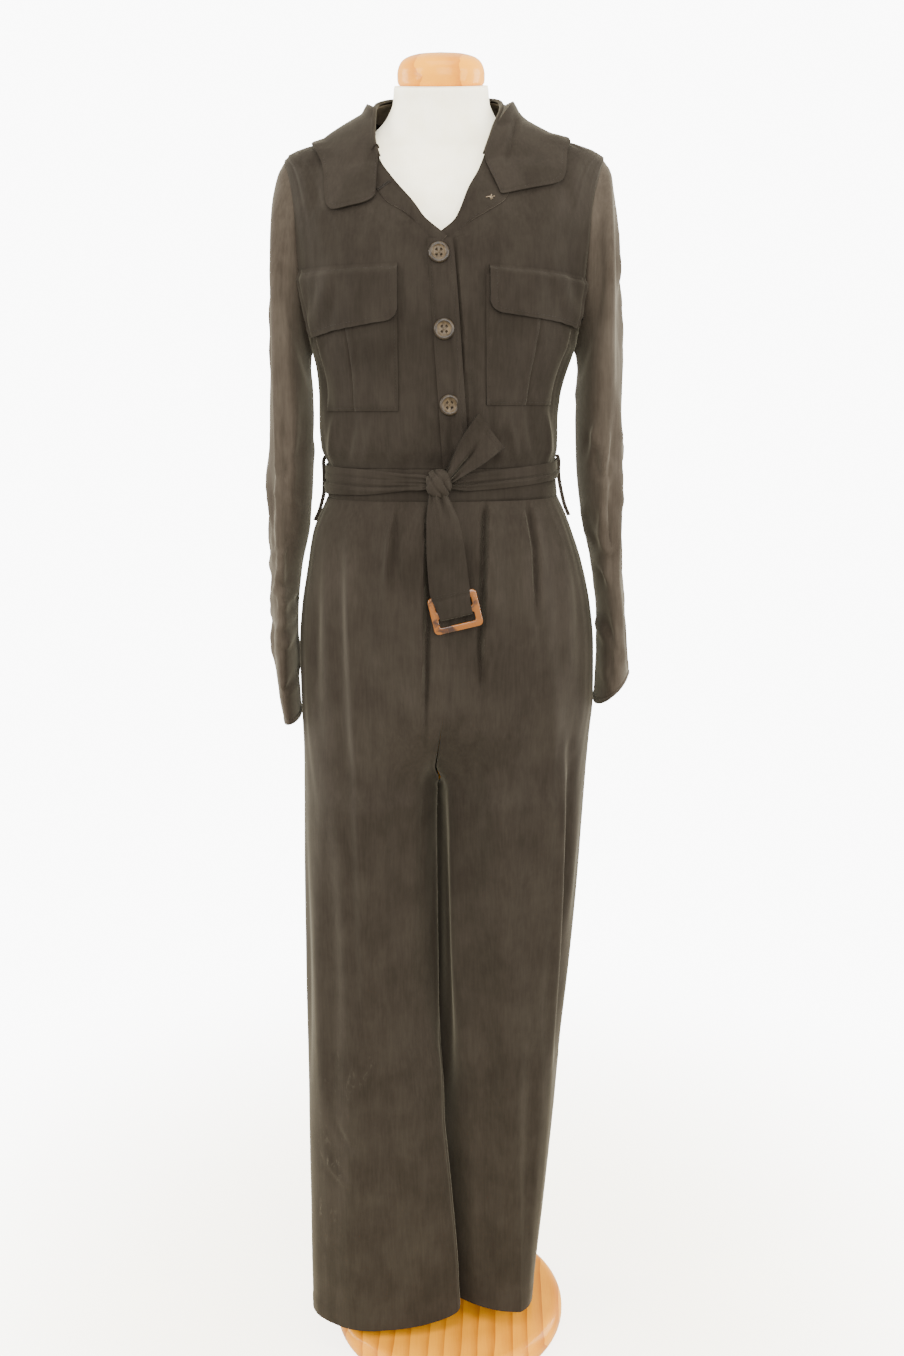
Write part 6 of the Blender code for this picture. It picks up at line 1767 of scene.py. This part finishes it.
soft = buckle.modifiers.new("tumbled", "BEVEL")
soft.width, soft.segments, soft.limit_method, soft.angle_limit = 0.0011, 4, "ANGLE", math.radians(50.0)
bpy.ops.object.modifier_apply(modifier=soft.name)
buckle.data.transform(Matrix.Translation((0.0, -BUCKLE_THICK / 2, 0.0)))
buckle.location, buckle.rotation_euler = BUCKLE_CENTRE, (0.0, -BUCKLE_LEAN, 0.0)
finish_piece(buckle, "slider_buckle", SHELL, ("buckle",), angle=35.0)
print("buckle:", len(buckle.data.polygons), "faces")

# %% The belt loops
LOOPS = {
    "right": Table("share x z", (0.0, -0.1466, 1.2120), (0.14, -0.1488, 1.2045), (0.34, -0.1494, 1.1900),
                   (0.56, -0.1492, 1.1700), (0.80, -0.1552, 1.1480), (1.0, -0.1618, 1.1325)),
    "left": Table("share x z", (0.0, 0.1405, 1.2120), (0.14, 0.1424, 1.2045), (0.34, 0.1432, 1.1900),
                  (0.56, 0.1450, 1.1720), (0.80, 0.1500, 1.1540), (1.0, 0.1560, 1.1370))}
for word, path in LOOPS.items():
    def loop_surface(across, along, path=path):
        row = path.at(along)
        return np.stack([row.x + 0.0022 * (2.0 * across - 1.0) * math.copysign(1.0, row.x.flat[0]),
                         0.0042 * (2.0 * across - 1.0), row.z], -1)

    def loop_height(across, along, points):
        return -0.0005 * np.abs(2.0 * across - 1.0) ** 3 + 0.0005 * np.sin(along * 13.0)
    strip = raised(loop_surface, loop_height, WALL * 0.5, inside=LOOP_AXIS)
    # The loops take the sleeves' paler copy of the cloth: painted light on the narrow strips.
    sheet("belt_loop_strip_" + word, strip, 10, 44, SLEEVE_CLOTH_PAINTED_LIGHTER, lining=SLEEVE_CLOTH_PAINTED_LIGHTER,
          replaced=("belt_loop_" + word,), inside=LOOP_AXIS)

# %% The buttons
BUTTON_RADIUS, BUTTON_HEIGHT, BUTTON_PLACE, HOLE_RADIUS = 0.0117, 0.0036, 0.46, 0.00135
RIM = ((0.0, 0.0), (0.88, 0.0), (0.98, 0.16), (1.0, 0.42), (0.985, 0.66), (0.93, 0.88), (0.86, 0.98), (0.78, 1.0),
       (0.70, 0.93), (0.66, 0.80))
DISH = ((0.66, 0.80), (0.60, 0.68), (0.48, 0.60), (0.26, 0.565), (0.0, 0.555))
HOLE_OFFSET = 0.00270    # of each hole from the button's axis, both ways
holes = [(x * HOLE_OFFSET, y * HOLE_OFFSET) for x in (-1.0, 1.0) for y in (-1.0, 1.0)]
for name, z in (("top", 1.4365), ("middle", 1.355), ("low", 1.2725)):
    up = (z - PLACKET_LOW) / (PLACKET_HIGH - PLACKET_LOW)
    spot = PLACKET(BUTTON_PLACE, up)[0]
    out = outward_normals(placket_base, np.array([BUTTON_PLACE]), np.array([up]), BODY_AXIS, False)[0]
    spot, out = Vector(spot), Vector(out)
    stand_up = out.to_track_quat("Z", "Y").to_matrix().to_4x4()
    profile = [(r * BUTTON_RADIUS, h * BUTTON_HEIGHT) for r, h in RIM + DISH[1:]]
    body = turned("button_" + name + "_horn", profile, 48, HORN, "horn", ("button_" + name,))
    deselect()
    body.select_set(True)
    bpy.context.view_layer.objects.active = body
    for x, y in holes:
        bpy.ops.mesh.primitive_cylinder_add(vertices=14, radius=HOLE_RADIUS, depth=0.004, location=(x, y, 0.0030))
        cut_away(body, bpy.context.object, "hole")
    body.data.materials.append(PALE_HORN)
    # The drilled holes take the darker copy of the cloth: painted shade inside the holes.
    body.data.materials.append(UNDERSIDE_PAINTED_DARKER)
    for face in body.data.polygons:
        middle = face.center
        dished = math.hypot(middle.x, middle.y) < 0.68 * BUTTON_RADIUS and middle.z > 0.3 * BUTTON_HEIGHT
        drilled = min(math.hypot(middle.x - x, middle.y - y) for x, y in holes) < HOLE_RADIUS
        face.material_index = 2 if drilled else int(dished)
    body.data.transform(Matrix.Translation(spot + out * 0.0003) @ stand_up)
    top = 0.60 * BUTTON_HEIGHT + 0.0003
    lines = []
    for first, second in ((0, 3), (1, 2)):
        for nudge in (-0.00020, 0.00020):
            (x0, y0), (x1, y1) = holes[first], holes[second]
            rise = 0.0006 + abs(nudge)
            sketch = [(x0 + nudge, y0 - nudge, top - 0.0009), (x0 + nudge, y0 - nudge, top + 0.0002),
                      (nudge, -nudge, top + rise), (x1 + nudge, y1 - nudge, top + 0.0002),
                      (x1 + nudge, y1 - nudge, top - 0.0009)]
            lines.append([spot + stand_up @ Vector(p) for p in sketch])
    thread_piece("button_" + name + "_thread", lines, 0.00020, PALE_HORN)
print("buttons done:", [name for name in PIECES if name.startswith("button_")])

# %% [markdown]
# ## The room
# A pale floor that melts into a white room, a big soft light on either side of the camera, and
# two from behind that draw a pale line down the cloth's edges. None of this belongs to the part.

# %% Floor
deselect()
bpy.ops.mesh.primitive_plane_add(size=40.0)
floor = bpy.context.object
floor.name = floor.data.name = "studio_floor"
ground = Finish("pale_floor", Specular_IOR_Level=0.1)
grain = ground.noise(ground.place, 3.0, 3.0)
away = ground.node("ShaderNodeVectorMath", {"operation": "LENGTH"}, ground.place, output="Value")
floor.data.materials.append(ground.feed(Base_Color=ground.blend(grain, (0.97, 0.82, 0.46), (0.98, 0.86, 0.54)),
                                        Roughness=0.62 + grain * 0.1,
                                        Alpha=(1.0 - away.between(0.25, 1.3)) * 0.62))

# %% Light
world = bpy.data.worlds.new("white_room")
bpy.context.scene.world = world
world.use_nodes = True
tree = world.node_tree
shade = tree.nodes["Background"]
shade.inputs["Color"].default_value = (1.0, 0.995, 0.98, 1.0)
shade.inputs["Strength"].default_value = 1.9
backdrop = tree.nodes.new("ShaderNodeBackground")
backdrop.inputs["Color"].default_value = (1.0, 1.0, 1.0, 1.0)
backdrop.inputs["Strength"].default_value = 10.0
seen, choose = tree.nodes.new("ShaderNodeLightPath"), tree.nodes.new("ShaderNodeMixShader")
tree.links.new(seen.outputs["Is Camera Ray"], choose.inputs[0])
tree.links.new(shade.outputs[0], choose.inputs[1])
tree.links.new(backdrop.outputs[0], choose.inputs[2])
tree.links.new(choose.outputs[0], tree.nodes["World Output"].inputs["Surface"])


def soft_light(name, place, aim, size, power):
    light = bpy.data.lights.new(name, "AREA")
    light.shape, light.size, light.size_y, light.energy = "RECTANGLE", size[0], size[1], power
    light.color = (1.0, 0.985, 0.96)
    lamp = bpy.data.objects.new(name, light)
    bpy.context.scene.collection.objects.link(lamp)
    lamp.location = place
    lamp.rotation_euler = (Vector(aim) - Vector(place)).to_track_quat("-Z", "Y").to_euler()
    return lamp


soft_light("front", (0.5, -3.2, 2.1), (0.0, 0.0, 0.95), (2.2, 2.0), 165.0)
soft_light("key", (-2.6, -1.5, 2.0), (0.0, 0.0, 0.95), (1.0, 1.9), 120.0)
soft_light("fill", (2.6, -1.4, 1.8), (0.0, 0.0, 0.85), (1.0, 1.9), 105.0)
soft_light("side_left", (-2.2, 0.7, 1.4), (0.0, 0.0, 0.95), (0.9, 2.2), 100.0)
soft_light("side_right", (2.2, 0.7, 1.4), (0.0, 0.0, 0.95), (0.9, 2.2), 120.0)
soft_light("top", (0.0, -0.9, 3.2), (0.0, 0.0, 1.2), (1.6, 1.2), 50.0)

# %% Camera
PITCH, ROLL_ANGLE = math.radians(12.03), -0.00589
ahead = Vector((0.0, math.cos(PITCH), -math.sin(PITCH)))
level_up, level_right = Vector((0.0, math.sin(PITCH), math.cos(PITCH))), Vector((1.0, 0.0, 0.0))
camera_right = level_right * math.cos(ROLL_ANGLE) + level_up * math.sin(ROLL_ANGLE)
camera_up = level_up * math.cos(ROLL_ANGLE) - level_right * math.sin(ROLL_ANGLE)
lens = bpy.data.cameras.new("view")
lens.lens, lens.sensor_width, lens.sensor_fit = 33.83, 36.0, "AUTO"
camera = bpy.data.objects.new("view", lens)
bpy.context.scene.collection.objects.link(camera)
camera.matrix_world = Matrix.Translation((0.0087, -1.6005, 1.2707)) @ Matrix(
    (camera_right, camera_up, -ahead)).transposed().to_4x4()
bpy.context.scene.camera = camera
deselect()

# %% Sizes
print("pieces:", len(PIECES), "faces:", sum(len(piece.data.polygons) for piece in PIECES.values()))
